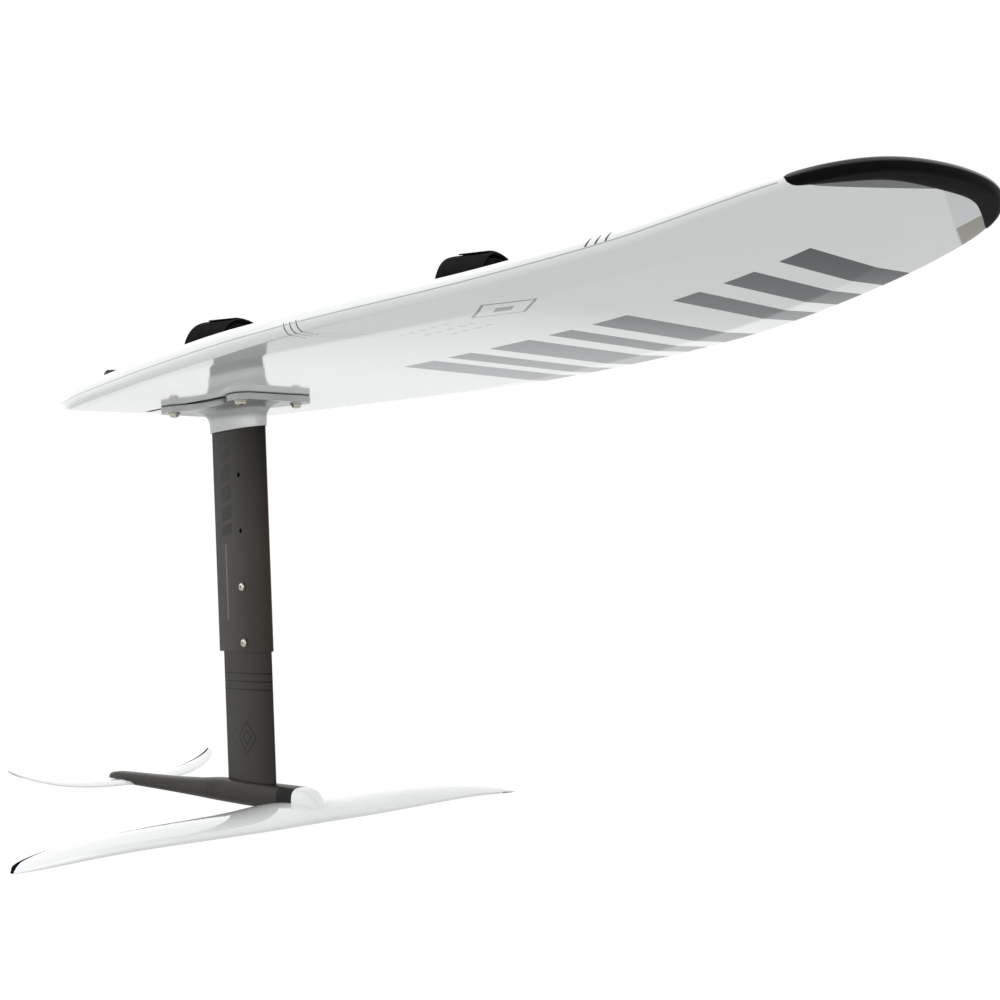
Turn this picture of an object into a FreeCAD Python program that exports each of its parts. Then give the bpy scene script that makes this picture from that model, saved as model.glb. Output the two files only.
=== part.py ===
import FreeCAD, Part
import math
import os
import Sketcher

# Hydrofoil board with a telescoping mast, modelled in millimetres.
# Frame: +X towards the nose, +Y to port, +Z up.  Everything is drawn about the centre
# of the mast plate's bolt pattern; the exported files have their origin on the flat
# bottom face of the board, on its centre line, origin_x ahead of that pattern.

Vector = FreeCAD.Vector
doc = FreeCAD.newDocument("foil_board")

# ---------------------------------------------------------------- dimensions
DIMS = [
    # board
    ("board_tail", -311.0), ("board_length", 1428.0), ("board_halfwidth", 258.5),
    ("shell_thick", 2.2), ("rail_out", 8.0), ("deck_crown", 4.0),
    ("guard_proud", 1.6), ("guard_band", 21.0), ("origin_x", 260.0), ("rest_from", 130.0),
    # tracks in the bottom, and the plate bolted to them
    ("bolt_x", 82.5), ("bolt_y", 45.0),
    ("slot_front", 100.0), ("slot_rear", -154.0), ("slot_width", 9.0),
    ("slot_lip", 4.5), ("channel_width", 17.0), ("channel_depth", 9.5),
    ("box_width", 24.0), ("box_height", 18.0), ("box_wall", 8.0),
    ("nut_length", 22.0), ("nut_width", 16.4), ("nut_height", 6.0),
    ("gasket_gap", 0.1), ("gasket_thick", 1.2), ("plate_thick", 8.4),
    ("plate_halflength", 107.0), ("plate_halfwidth", 60.0),
    ("plate_hole", 4.3), ("screw_shank", 3.9), ("head_radius", 7.4), ("head_height", 4.2),
    ("washer_radius", 8.6), ("washer_thick", 1.4),
    ("collar_bottom", -39.5), ("collar_wall", 3.2),
    # mast
    ("sleeve_bottom", -344.1), ("sleeve_top", -13.0),
    ("sleeve_front", 70.0), ("sleeve_chord", 126.3), ("sleeve_thick", 20.4),
    ("inner_front", 66.8), ("inner_chord", 113.5), ("inner_thick", 13.2),
    ("inner_top", -238.0), ("inner_bottom", -537.0), ("slide_gap", 0.2),
    ("insert_depth", 48.0), ("bolt_fore", 44.0), ("bolt_aft", 8.0),
    ("hole_pitch", 76.5), ("hole_low", -332.0), ("hole_x", 19.2), ("height_hole", 3.3),
    # fuselage and wings
    ("fuse_top", -522.0), ("fuse_bottom", -555.0), ("fuse_halfwidth", 17.5),
    ("fuse_front", 91.0), ("collar_front", 125.0), ("tongue_front", 144.0),
    ("tongue_width", 23.0), ("tongue_top", -529.0), ("tongue_bottom", -553.0),
    ("tail_cut", -542.5), ("tail_step", -292.0),
    ("wing_half", 398.0), ("wing_thick", 0.118), ("stab_half", 172.0), ("stab_thick", 0.105),
    ("wing_screw", 2.95), ("foot_screw", 3.9), ("stab_screw", 2.45),
    # foot straps, their inserts and the pads
    ("strap_front", 512.0), ("strap_rear", -4.0), ("strap_band", 62.0), ("strap_foot", 132.0),
    ("strap_halfspan", 82.0), ("strap_rise", 67.0), ("strap_thick", 8.0),
    ("insert_pitch", 50.8), ("insert_y", 98.0), ("insert_radius", 7.0), ("insert_long", 14.0),
    ("insert_bore", 2.6), ("pad_thick", 5.0), ("kick_height", 32.0),
]
sheet = doc.addObject("Spreadsheet::Sheet", "dims")
for row, (alias, value) in enumerate(DIMS, 1):
    sheet.set("A%d" % row, alias.replace("_", " "))
    sheet.set("B%d" % row, str(value))
    sheet.setAlias("B%d" % row, alias)
doc.recompute()


def dim(alias):
    return float(sheet.get(alias))


# ---------------------------------------------------------------- sketches and bodies
def expression(value):
    return value if isinstance(value, str) else "%.4f" % value


def new_body(label):
    body = doc.addObject("PartDesign::Body", label)
    body.Label = label
    return body


def new_sketch(body, role, name, offset=None):
    """Sketch on an origin plane, moved by offset along the plane's normal."""
    planes = [o for o in body.Origin.OriginFeatures if o.Role == role]
    sketch = body.newObject("Sketcher::SketchObject", name)
    sketch.AttachmentSupport = [(planes[0], "")]
    sketch.MapMode = "FlatFace"
    if offset is not None:
        sketch.setExpression("AttachmentOffset.Base.z", expression(offset))
    return sketch


def spline(sketch, points, closed=True):
    curve = Part.BSplineCurve()
    curve.interpolate([Vector(p[0], p[1], 0) for p in points], PeriodicFlag=closed)
    sketch.addGeometry(curve, False)


def line(sketch, start, end):
    segment = Part.LineSegment(Vector(start[0], start[1], 0), Vector(end[0], end[1], 0))
    sketch.addGeometry(segment, False)


def polygon(sketch, points):
    for start, end in zip(points, points[1:] + points[:1]):
        line(sketch, start, end)


def blunt_profile(sketch, points):
    """Open spline closed by a straight tail."""
    spline(sketch, points, closed=False)
    line(sketch, points[-1], points[0])


def circle(sketch, x, y, radius, alias=None):
    """Circle with a radius constraint, bound to a dimension where one is given."""
    index = sketch.addGeometry(Part.Circle(Vector(x, y, 0), Vector(0, 0, 1), radius), False)
    constraint = sketch.addConstraint(Sketcher.Constraint("Radius", index, radius))
    if alias:
        sketch.setExpression("Constraints[%d]" % constraint, "dims." + alias)


def pad(body, sketch, name, length, reverse=False):
    result = body.newObject("PartDesign::Pad", name)
    result.Profile = sketch
    result.Reversed = reverse
    result.setExpression("Length", expression(length))
    sketch.Visibility = False
    doc.recompute()


def pocket(body, sketch, name, length, reverse=False, probe=None):
    """Pocket whose effect is checked: by volume, or by a probe point that must be cleared.
    It cuts against the sketch normal (XY: down, XZ: to port, YZ: aft) unless reversed."""
    doc.recompute()
    before = body.Shape.Volume
    result = body.newObject("PartDesign::Pocket", name)
    result.Profile = sketch
    result.Reversed = reverse
    result.setExpression("Length", expression(length))
    doc.recompute()
    if probe is not None:
        if body.Shape.isInside(Vector(*probe), 1e-4, False):
            raise RuntimeError("%s misses its material" % name)
    elif not body.Shape.Volume < before - 1e-3:
        raise RuntimeError("%s removes nothing" % name)


def drill(body, sketch_name, name, level, centres, radius, length, alias=None,
          role="XY_Plane", **options):
    """Round holes cut from one sketch."""
    sketch = new_sketch(body, role, sketch_name, level)
    for x, y in centres:
        circle(sketch, x, y, radius, alias)
    pocket(body, sketch, name, length, **options)


def loft(body, sketches, name):
    result = body.newObject("PartDesign::AdditiveLoft", name)
    result.Profile = sketches[0]
    result.Sections = sketches[1:]
    result.Ruled = False
    doc.recompute()


# ---------------------------------------------------------------- Part objects
def primitive(kind, name, position, sides=None, **sizes):
    item = doc.addObject("Part::" + kind, name)
    if sides:
        item.Polygon = sides
    for key, value in sizes.items():
        item.setExpression(key, expression(value))
    for axis, value in zip("xyz", position):
        item.setExpression("Placement.Base." + axis, expression(value))
    return item


def fuse(name, items):
    result = doc.addObject("Part::MultiFuse", name)
    result.Shapes = items
    return result


def cut(name, base, tool):
    result = doc.addObject("Part::Cut", name)
    result.Base = base
    result.Tool = tool
    return result


def group(label, items):
    result = doc.addObject("Part::Compound", label)
    result.Links = items
    return result


def feature(label, shape):
    result = doc.addObject("Part::Feature", label)
    result.Shape = shape
    return result


def largest(shape):
    return sorted(shape.Solids, key=lambda solid: -solid.Volume)[0]


# ---------------------------------------------------------------- curves
def pchip(table):
    """Monotone cubic through (place, value) points, held at the end values beyond them."""
    xs = [p[0] for p in table]
    ys = [p[1] for p in table]
    n = len(xs)
    rise = [(ys[i + 1] - ys[i]) / (xs[i + 1] - xs[i]) for i in range(n - 1)]
    slope = [rise[0]] + [0.0] * (n - 2) + [rise[-1]]
    for i in range(1, n - 1):
        if rise[i - 1] * rise[i] > 0:
            before, after = xs[i] - xs[i - 1], xs[i + 1] - xs[i]
            w0, w1 = 2 * after + before, after + 2 * before
            slope[i] = (w0 + w1) / (w0 / rise[i - 1] + w1 / rise[i])

    def value_at(x):
        if x <= xs[0]:
            return ys[0]
        if x >= xs[-1]:
            return ys[-1]
        i = max(k for k in range(n - 1) if xs[k] <= x)
        step = xs[i + 1] - xs[i]
        u = (x - xs[i]) / step
        return (ys[i] * (1 + 2 * u) * (1 - u) ** 2 + slope[i] * step * u * (1 - u) ** 2
                + ys[i + 1] * u * u * (3 - 2 * u) + slope[i + 1] * step * u * u * (u - 1))
    return value_at


def pchips(table):
    """One curve for each value column of a table whose first column is the place."""
    columns = list(zip(*table))
    return [pchip(list(zip(columns[0], column))) for column in columns[1:]]


def signed_power(value, exponent):
    return math.copysign(abs(value) ** exponent, value)


def turn(count):
    """Cosine and sine of count equal steps around a full turn."""
    angles = [2 * math.pi * i / count for i in range(count)]
    return [(math.cos(angle), math.sin(angle)) for angle in angles]


def oval(front, back, half_width, power=2.0):
    """Superellipse along X, narrower towards its tail as the strut section is."""
    centre, half_length = (front + back) / 2, (front - back) / 2
    points = []
    for cosine, sine in turn(28):
        x = centre + half_length * signed_power(cosine, 2 / power)
        taper = 1.0 - 0.16 * (1 - (x - back) / (front - back))
        points.append((x, half_width * signed_power(sine, 2 / power) * taper))
    return points


def round_box(top, bottom, half_width, power=3.0):
    """Superellipse section in Y and Z."""
    centre, half_height = (top + bottom) / 2, (top - bottom) / 2
    return [(half_width * signed_power(cosine, 2 / power),
             centre + half_height * signed_power(sine, 2 / power))
            for cosine, sine in turn(24)]


# ---------------------------------------------------------------- board form
TAIL, LENGTH, HALF = dim("board_tail"), dim("board_length"), dim("board_halfwidth")
NOSE = TAIL + LENGTH
# x, half width of the bottom chine
OUTLINE = [
    (-311, 0), (-310, 33), (-306, 62), (-295, 85), (-271, 107), (-238, 128), (-188.6, 150),
    (-88.6, 177), (11.4, 197), (111.4, 217), (211.4, 234), (311.4, 248), (411.4, 257.5),
    (511.4, 258.5), (611.4, 251), (711.4, 237), (811.4, 216), (911.4, 191.5), (980, 177),
    (1020, 166.5), (1050, 154), (1077, 133), (1097, 105), (1109, 73), (1115, 38), (1117, 0)]
# x, height of the bottom panel
ROCKER = [
    (-311, 12), (-290, 9), (-240, 4.8), (-200, 1.4), (-170, 0), (330, 0), (411.4, 0.6),
    (511.4, 1.9), (611.4, 4.0), (711.4, 7.6), (811.4, 15.3), (911.4, 27.0), (1011.4, 45.3),
    (1065, 58), (1117, 73)]
# x, height of the chine above the panel
BEVEL = [
    (-311, 3), (-240, 1.6), (-188.6, 1.0), (11.4, 0.8), (211.4, 0.5), (311.4, 1.0),
    (411.4, 2.1), (511.4, 3.3), (611.4, 4.5), (811.4, 5), (911.4, 4.5), (1011.4, 4.0), (1117, 2)]
# x, width of the bevel between panel and chine
BEVEL_WIDTH = [
    (-311, 12), (11.4, 10), (211.4, 12), (311.4, 22), (411.4, 40), (511.4, 54), (611.4, 61),
    (711.4, 65), (911.4, 64), (980, 74), (1020, 91), (1045, 120), (1117, 140)]
# x, height of the deck edge above the chine
THICKNESS = [
    (-311, 15), (-300, 17.5), (-250, 21), (-188, 23.5), (-50, 27.5), (311, 27.5), (455, 24),
    (700, 19.5), (911, 16.5), (1011, 12.5), (1070, 10.5), (1117, 10)]
# x of the lofted sections
STATIONS = [
    -310.0, -308.2, -304.5, -298, -288, -273, -252, -225, -190, -145, -90, -30, 40, 110, 180,
    250, 320, 380, 440, 500, 560, 620, 680, 740, 800, 855, 905, 945, 980, 1008, 1030, 1050,
    1067, 1081, 1092, 1101, 1108, 1112.5, 1115.0]

DRAWN_TAIL, DRAWN_LENGTH = OUTLINE[0][0], OUTLINE[-1][0] - OUTLINE[0][0]
DRAWN_HALF = max(width for x, width in OUTLINE)
outline = pchip([((x - DRAWN_TAIL) / DRAWN_LENGTH, w / DRAWN_HALF) for x, w in OUTLINE[1:-1]])
rocker, bevel, bevel_width, thickness_at = (
    pchip(table) for table in (ROCKER, BEVEL, BEVEL_WIDTH, THICKNESS))


def half_at(x):
    return HALF * outline((x - TAIL) / LENGTH)


def crown(x):
    return dim("deck_crown") * max(0.0, min(1.0, (x - TAIL) / 250.0, (NOSE - x) / 350.0))


def section(x, inset):
    """Half section of the board at x, shrunk by inset, as (y, z) points."""
    half = half_at(x)
    panel_z = rocker(x) - 0.02
    chine_z = panel_z + bevel(x)
    thick = thickness_at(x)
    panel_y = max(0.25 * half, half - bevel_width(x))
    out = dim("rail_out") * min(1.0, (1125 - x) / 250.0 + 0.35)
    apex_y = half + out - 1.05 * inset
    if inset > 0:
        # the inner forms keep their rails less than half round
        apex_y = min(apex_y, half - 1.5 - 0.7 * inset + 0.42 * (thick - 2 * inset))
    return dict(
        panel=(panel_y - 0.6 * inset, panel_z + inset),
        chine=(half - 0.8 * inset, chine_z + inset),
        apex=(apex_y, chine_z + 0.42 * thick),
        edge=(half - 3.0 - 0.6 * inset, chine_z + thick - inset),
        middle=(0.0, chine_z + thick + crown(x) - inset))


def hull_wire(x, placed_x, inset):
    """Closed section with the shape of station x, standing at placed_x."""
    form = section(x, inset)

    def point(key, side=1):
        return Vector(placed_x, side * form[key][0], form[key][1])

    return Part.Wire([
        Part.makeLine(point("panel", -1), point("panel")),
        Part.makeLine(point("panel"), point("chine")),
        Part.Arc(point("chine"), point("apex"), point("edge")).toShape(),
        Part.Arc(point("edge"), point("middle"), point("edge", -1)).toShape(),
        Part.Arc(point("edge", -1), point("apex", -1), point("chine", -1)).toShape(),
        Part.makeLine(point("chine", -1), point("panel", -1))])


def hull(inset):
    wires = []
    first, last = STATIONS[0], STATIONS[-1]
    for x in STATIONS:
        placed_x = x
        if inset:
            # the inner forms stop short of the outer ends by the inset
            low, high = first + inset, last - inset
            placed_x = low + (x - first) * (high - low) / (last - first)
        wires.append(hull_wire(x, placed_x, inset))
    return Part.makeLoft(wires, True, True)


def deck_z(x, y):
    """Height of the deck: straight between the stations, as the lofted skin is."""
    k = max(i for i in range(len(STATIONS) - 1) if STATIONS[i] <= x)
    heights = []
    for station in STATIONS[k:k + 2]:
        form = section(station, 0.0)
        edge_y, edge_z = form["edge"]
        middle_z = form["middle"][1]
        heights.append(middle_z - (middle_z - edge_z) * (y / edge_y) ** 2)
    u = (x - STATIONS[k]) / (STATIONS[k + 1] - STATIONS[k])
    return heights[0] * (1 - u) + heights[1] * u


def outer_form():
    # the bottom between the two rockers is trimmed to one true plane
    form = hull(0.0).cut(Part.makeBox(2000, 1000, 60, Vector(-500, -500, -60)))
    # ahead of the mast plate the bottom is a face of its own
    aft = Part.makeBox(700, 1000, 300, Vector(dim("rest_from") - 700, -500, -100))
    return form.common(aft).fuse(form.cut(aft))


def below_rail():
    """Parting volume: everything below the rail's widest line."""
    rail = [(x, section(x, 0.0)["apex"][1]) for x in STATIONS]
    wires = []
    for x, z in [(-400, rail[0][1])] + rail + [(1200, rail[-1][1])]:
        corners = [(-400, -60), (400, -60), (400, z), (-400, z), (-400, -60)]
        wires.append(Part.makePolygon([Vector(x, y, height) for y, height in corners]))
    return Part.makeLoft(wires, True, True)


# threaded inserts under each strap: four along X on either side
INSERT_POINTS = [(dim(strap) + step * dim("insert_pitch"), side * dim("insert_y"))
                 for strap in ("strap_front", "strap_rear")
                 for step in (-1.5, -0.5, 0.5, 1.5) for side in (-1, 1)]
INSERT_TOP = {point: deck_z(*point) - 0.4 for point in INSERT_POINTS}

BOX_FIT = 0.05


def track_holes():
    rear = dim("slot_rear") - dim("box_wall")
    front = dim("slot_front") + dim("box_wall")
    width, below = dim("box_width"), 20
    return [Part.makeBox(front - rear + 2 * BOX_FIT, width + 2 * BOX_FIT,
                         dim("box_height") + below + BOX_FIT,
                         Vector(rear - BOX_FIT, side * dim("bolt_y") - width / 2 - BOX_FIT,
                                -below))
            for side in (-1, 1)]


def insert_cylinders(radius, drop):
    """Upright cylinders that start drop below the top of each insert."""
    return Part.makeCompound([
        Part.makeCylinder(radius, 60, Vector(x, y, INSERT_TOP[x, y] - drop))
        for x, y in INSERT_POINTS])


def board_parts():
    """Bottom and deck shells, parted at the rail, and the core inside them."""
    thick = dim("shell_thick")
    shell = outer.cut(hull(thick))
    core = hull(thick + 0.3)
    below = below_rail()
    below_raised = below.copy()
    below_raised.translate(Vector(0, 0, 0.05))
    tracks = Part.makeCompound(track_holes())
    inserts = insert_cylinders(dim("insert_radius") + 0.05, dim("insert_long") + 0.05)
    return [feature("bottom_shell", shell.common(below).cut(tracks)),
            feature("deck_shell", shell.cut(below_raised).cut(inserts)),
            feature("foam_core", core.cut(tracks).cut(inserts))]


# ---------------------------------------------------------------- nose guard
GUARD_REAR = 1044.0
NOSE_TURN = 1090


def nose_form(proud, start):
    """Nose of the board from station start on, grown by proud, also ahead of the tip."""
    wires = []
    for x in [station for station in STATIONS if station > start]:
        ahead = proud * (x - NOSE_TURN) / (STATIONS[-1] - NOSE_TURN) if x > NOSE_TURN else 0
        wires.append(hull_wire(x, x + ahead, -proud))
    return Part.makeLoft(wires, True, True)


def band_points(inset, start):
    """Line that follows the outline of the nose at a distance inside it."""
    points = []
    run = [start] + [x for x in STATIONS if x > start]
    for side in (1, -1):
        row = []
        for i, x in enumerate(run):
            back, ahead = run[max(0, i - 1)], run[min(len(run) - 1, i + 1)]
            dx, dy = ahead - back, half_at(ahead) - half_at(back)
            span = math.hypot(dx, dy)
            row.append((x + dy / span * inset, side * (half_at(x) - dx / span * inset)))
        points += row if side == 1 else row[::-1]
    return points


def nose_guard():
    """Thin rim around the nose, as wide as a band along the outline."""
    band = band_points(dim("guard_band"), GUARD_REAR)
    middle = Part.Face(Part.makePolygon([Vector(x, y, -20) for x, y in band + band[:1]]))
    middle = middle.extrude(Vector(0, 0, 200))
    behind = Part.makeBox(60, 800, 300, Vector(GUARD_REAR - 60, -400, -50))
    rim = nose_form(dim("guard_proud"), 1020).cut(middle).cut(behind)
    return feature("nose_guard", largest(rim.cut(nose_form(0.12, 1000))))


# ---------------------------------------------------------------- tracks and inserts
def track_box(label, side):
    centre = "%d * dims.bolt_y" % side
    block = primitive(
        "Box", label + "_block",
        ("dims.slot_rear - dims.box_wall", centre + " - dims.box_width / 2", 0),
        Length="dims.slot_front - dims.slot_rear + 2 * dims.box_wall",
        Width="dims.box_width", Height="dims.box_height")
    mouth = primitive(
        "Box", label + "_mouth", ("dims.slot_rear", centre + " - dims.slot_width / 2", -1),
        Length="dims.slot_front - dims.slot_rear",
        Width="dims.slot_width", Height="dims.slot_lip + 2")
    channel = primitive(
        "Box", label + "_channel",
        ("dims.slot_rear - 3", centre + " - dims.channel_width / 2", "dims.slot_lip"),
        Length="dims.slot_front - dims.slot_rear + 6",
        Width="dims.channel_width", Height="dims.channel_depth")
    return cut(label, block, fuse(label + "_space", [mouth, channel]))


def strap_inserts():
    items = []
    for k, (x, y) in enumerate(INSERT_POINTS):
        across = "%d * dims.insert_y" % (1 if y > 0 else -1)
        low = "%.4f - dims.insert_long" % INSERT_TOP[x, y]
        barrel = primitive("Cylinder", "insert_body_%d" % k, (x, across, low),
                           Radius="dims.insert_radius", Height="dims.insert_long")
        bore = primitive("Cylinder", "insert_bore_%d" % k, (x, across, low + " + 2"),
                         Radius="dims.insert_bore", Height="dims.insert_long")
        items.append(cut("insert_%d" % k, barrel, bore))
    return group("strap_inserts", items)


# ---------------------------------------------------------------- traction pads
PAD_LIFT = 0.3
PAD_END = 28.0


def deck_sheet(rear, front, width_share):
    """Sheet that follows the deck, with rounded ends."""
    thick = dim("pad_thick")
    steps = (0, 2, 6, 13, PAD_END)
    places = [rear + step for step in steps] + [front - step for step in steps]
    places += [x for x in STATIONS if rear + PAD_END + 0.5 < x < front - PAD_END - 0.5]
    wires = []
    for x in sorted(places):
        width = min(width_share * half_at(x), 185.0)
        u = min(x - rear, front - x) / PAD_END
        if u < 1:
            width -= 22.0 * (1 - math.sqrt(max(0.0, 1 - (1 - u) ** 2)))
        edge_z = deck_z(x, width) + PAD_LIFT
        middle_z = deck_z(x, 0) + PAD_LIFT
        low_left, low_right = Vector(x, width, edge_z), Vector(x, -width, edge_z)
        top_left = Vector(x, width, edge_z + thick)
        top_right = Vector(x, -width, edge_z + thick)
        wires.append(Part.Wire([
            Part.Arc(low_right, Vector(x, 0, middle_z), low_left).toShape(),
            Part.makeLine(low_left, top_left),
            Part.Arc(top_left, Vector(x, 0, middle_z + thick), top_right).toShape(),
            Part.makeLine(top_right, low_right)]))
    return Part.makeLoft(wires, True, True)


def traction_pads():
    holes = insert_cylinders(dim("insert_radius") + 1.5, 10)
    # x and height above the deck of the raised kick across the rear pad
    top = dim("pad_thick") + dim("kick_height")
    kick = [(-203, top - 3), (-196, top), (-184, top - 4), (-160, dim("pad_thick") + 9),
            (-140, dim("pad_thick") + 0.5), (-140, 2.0), (-145, 2.0), (-190, 2.0), (-203, 2.0)]
    corners = [Vector(x, -92, deck_z(x, 0) + z) for x, z in kick + kick[:1]]
    kick_solid = Part.Face(Part.makePolygon(corners)).extrude(Vector(0, 184, 0))
    rear = deck_sheet(-205, 150, 0.82).fuse(kick_solid).removeSplitter().cut(holes)
    front = deck_sheet(385, 690, 0.72).cut(holes)
    return [feature("rear_traction_pad", largest(rear)),
            feature("front_traction_pad", front)]


# ---------------------------------------------------------------- foot straps
# each strap lies at a slant: its starboard end is screwed two inserts further forward
# than its port end
SLANT = math.atan2(2 * dim("insert_pitch"), 2 * dim("insert_y"))
COS_SLANT, SIN_SLANT = math.cos(SLANT), math.sin(SLANT)
STRAP_SCREW_STEPS = {-1: (0.5, 1.5), 1: (-1.5, -0.5)}  # side: screws, in insert pitches
FOOT_THICK = 4.0
ANCHOR_THICK = 3.0
STRAP_HOLE = 3.4


def strap_foot_z(middle_x):
    """Underside of the feet: clear of the pad at the highest deck under the strap."""
    leg = dim("strap_halfspan") - dim("strap_thick")
    foot_y = dim("strap_foot")
    half_band = dim("strap_band") / 2
    under = [(middle_x + u * COS_SLANT - v * SIN_SLANT, u * SIN_SLANT + v * COS_SLANT)
             for u in (-half_band, 0, half_band)
             for v in (-foot_y, -100, -leg, leg, 100, foot_y)]
    return max(deck_z(x, y) for x, y in under) + PAD_LIFT + dim("pad_thick") + 0.15


def arch(offset, foot_z, count):
    """Arch of the strap from port to starboard, offset outwards."""
    points = []
    for i in range(count):
        angle = math.pi * i / (count - 1)
        points.append((
            (dim("strap_halfspan") + offset) * signed_power(math.cos(angle), 2.0 / 2.2),
            foot_z + FOOT_THICK
            + (dim("strap_rise") + offset) * signed_power(math.sin(angle), 2.0 / 2.2)))
    return points


def slanted(body, middle_x):
    rotation = FreeCAD.Rotation(Vector(0, 0, 1), math.degrees(SLANT))
    body.Placement = FreeCAD.Placement(Vector(0, 0, 0), rotation, Vector(middle_x, 0, 0))
    return body


def strap_pad(name, foot_z):
    """Arched band with a flat foot on either side."""
    alias = "strap_" + name
    middle_x = dim(alias)
    body = new_body(name + "_strap_pad")
    sketch = new_sketch(body, "YZ_Plane", name + "_strap_profile",
                        "dims.%s - dims.strap_band / 2" % alias)
    thick, foot_y = dim("strap_thick"), dim("strap_foot")
    outside, inside = arch(0, foot_z, 13), arch(-thick, foot_z, 13)
    spline(sketch, outside, closed=False)
    spline(sketch, inside, closed=False)
    port = [outside[0], (foot_y, foot_z + FOOT_THICK), (foot_y, foot_z),
            (dim("strap_halfspan") - thick, foot_z), inside[0]]
    for foot in (port, [(-y, z) for y, z in port]):
        for start, end in zip(foot, foot[1:]):
            line(sketch, start, end)
    pad(body, sketch, name + "_strap_band", "dims.strap_band")
    # the holes are turned back by the slant, so that they come over the inserts
    holes = []
    for side in (-1, 1):
        for step in STRAP_SCREW_STEPS[side]:
            along, across = step * dim("insert_pitch"), side * dim("insert_y")
            holes.append((middle_x + along * COS_SLANT + across * SIN_SLANT,
                          across * COS_SLANT - along * SIN_SLANT))
    drill(body, name + "_strap_holes", name + "_strap_pierce", foot_z - 2, holes,
          STRAP_HOLE, 12, reverse=True)
    return slanted(body, middle_x)


def strap_cover(name, foot_z):
    """Second layer over the top of the band."""
    alias = "strap_" + name
    body = new_body(name + "_strap_cover")
    sketch = new_sketch(body, "YZ_Plane", name + "_cover_profile",
                        "dims.%s - dims.strap_band / 2 + 3" % alias)
    outside, inside = arch(3.4, foot_z, 17)[2:-2], arch(0.35, foot_z, 17)[2:-2]
    spline(sketch, outside, closed=False)
    spline(sketch, inside, closed=False)
    for end in (0, -1):
        line(sketch, outside[end], inside[end])
    pad(body, sketch, name + "_cover_band", "dims.strap_band - 6")
    return slanted(body, dim(alias))


def strap_anchor(name, side, foot_z):
    """Clamping plate over one foot and the two screws that hold it."""
    alias = "strap_" + name
    label = "%s_anchor_%s" % (name, "p" if side > 0 else "s")
    across = "%d * dims.insert_y" % side
    steps = STRAP_SCREW_STEPS[side]
    places = [("dims.%s + %.1f * dims.insert_pitch" % (alias, step), across)
              for step in steps]
    bar = primitive("Box", label + "_bar",
                    (places[0][0] + " - 10", across + " - 9.5", foot_z + FOOT_THICK + 0.05),
                    Length="dims.insert_pitch + 20", Width=19, Height=ANCHOR_THICK)
    holes = [primitive("Cylinder", label + "_hole_%d" % k, place + (foot_z + 3,),
                       Radius=STRAP_HOLE, Height=8) for k, place in enumerate(places)]
    plate = cut(label + "_plate", bar, fuse(label + "_holes", holes))

    screws = []
    top = foot_z + FOOT_THICK + ANCHOR_THICK + 0.1
    for k, (step, place) in enumerate(zip(steps, places)):
        point = (dim(alias) + step * dim("insert_pitch"), side * dim("insert_y"))
        low = INSERT_TOP[point] - dim("insert_long") + 4
        screw = label + "_screw_%d" % k
        head = primitive("Cylinder", screw + "_head", place + (top,), Radius=6, Height=2.2)
        dome = primitive("Cone", screw + "_dome", place + (top + 2.2,),
                         Radius1=6, Radius2=4, Height=1.2)
        shank = primitive("Cylinder", screw + "_shank", place + (low,),
                          Radius="dims.insert_bore - 0.1", Height=top - low + 0.5)
        socket = primitive("Prism", screw + "_socket", place + (top + 1.2,), sides=6,
                           Circumradius=2.3, Height=4)
        screws.append(cut(screw, fuse(screw + "_body", [head, dome, shank]), socket))
    return plate, screws


def strap_parts():
    straps, plates, screws = [], [], []
    for name in ("front", "rear"):
        foot_z = strap_foot_z(dim("strap_" + name))
        straps += [strap_pad(name, foot_z), strap_cover(name, foot_z)]
        for side in (-1, 1):
            plate, pair = strap_anchor(name, side, foot_z)
            plates.append(plate)
            screws += pair
    return straps + [group("strap_anchor_plates", plates), group("strap_screws", screws)]


# ---------------------------------------------------------------- screws
def screw_form(name, shank, length, head, socket, socket_depth, head_height=0.0):
    """Screw pointing up Z, sizes given as radii.  With a head height it has a rounded head
    whose seat is at z = 0; without, a countersunk head whose flat is at z = 0."""
    body = new_body(name)
    sketch = new_sketch(body, "XZ_Plane", name + "_profile")
    if head_height:
        points = [(0, -head_height), (head * 0.55, -head_height),
                  (head * 0.82, -head_height * 0.78), (head * 0.97, -head_height * 0.38),
                  (head, -0.3), (head - 0.3, 0), (shank, 0)]
    else:
        points = [(0, 0), (head, 0), (head, 0.6), (shank, 0.6 + (head - shank))]
    polygon(sketch, points + [(shank, length - 0.6), (shank - 0.6, length), (0, length)])
    turned = body.newObject("PartDesign::Revolution", name + "_turn")
    turned.Profile = sketch
    turned.ReferenceAxis = (sketch, ["V_Axis"])
    turned.Angle = 360.0
    doc.recompute()
    hexagon = new_sketch(body, "XY_Plane", name + "_hex", -head_height)
    polygon(hexagon, [(socket * math.cos(math.pi / 3 * k), socket * math.sin(math.pi / 3 * k))
                      for k in range(6)])
    pocket(body, hexagon, name + "_hex_pocket", socket_depth, reverse=True)
    return body


def spread(label, form, places, rotation=FreeCAD.Rotation()):
    """Copies of one screw at several places."""
    copies = []
    for place in places:
        item = form.Shape.copy()
        item.Placement = FreeCAD.Placement(Vector(*place), rotation)
        copies.append(item)
    return feature(label, Part.makeCompound(copies))


# ---------------------------------------------------------------- mast sections
SLEEVE = dict(front=dim("sleeve_front"), chord=dim("sleeve_chord"),
              thickness=dim("sleeve_thick"), tail=2.6)
STRUT = dict(front=dim("inner_front"), chord=dim("inner_chord"),
             thickness=dim("inner_thick"), tail=1.4)


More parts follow.
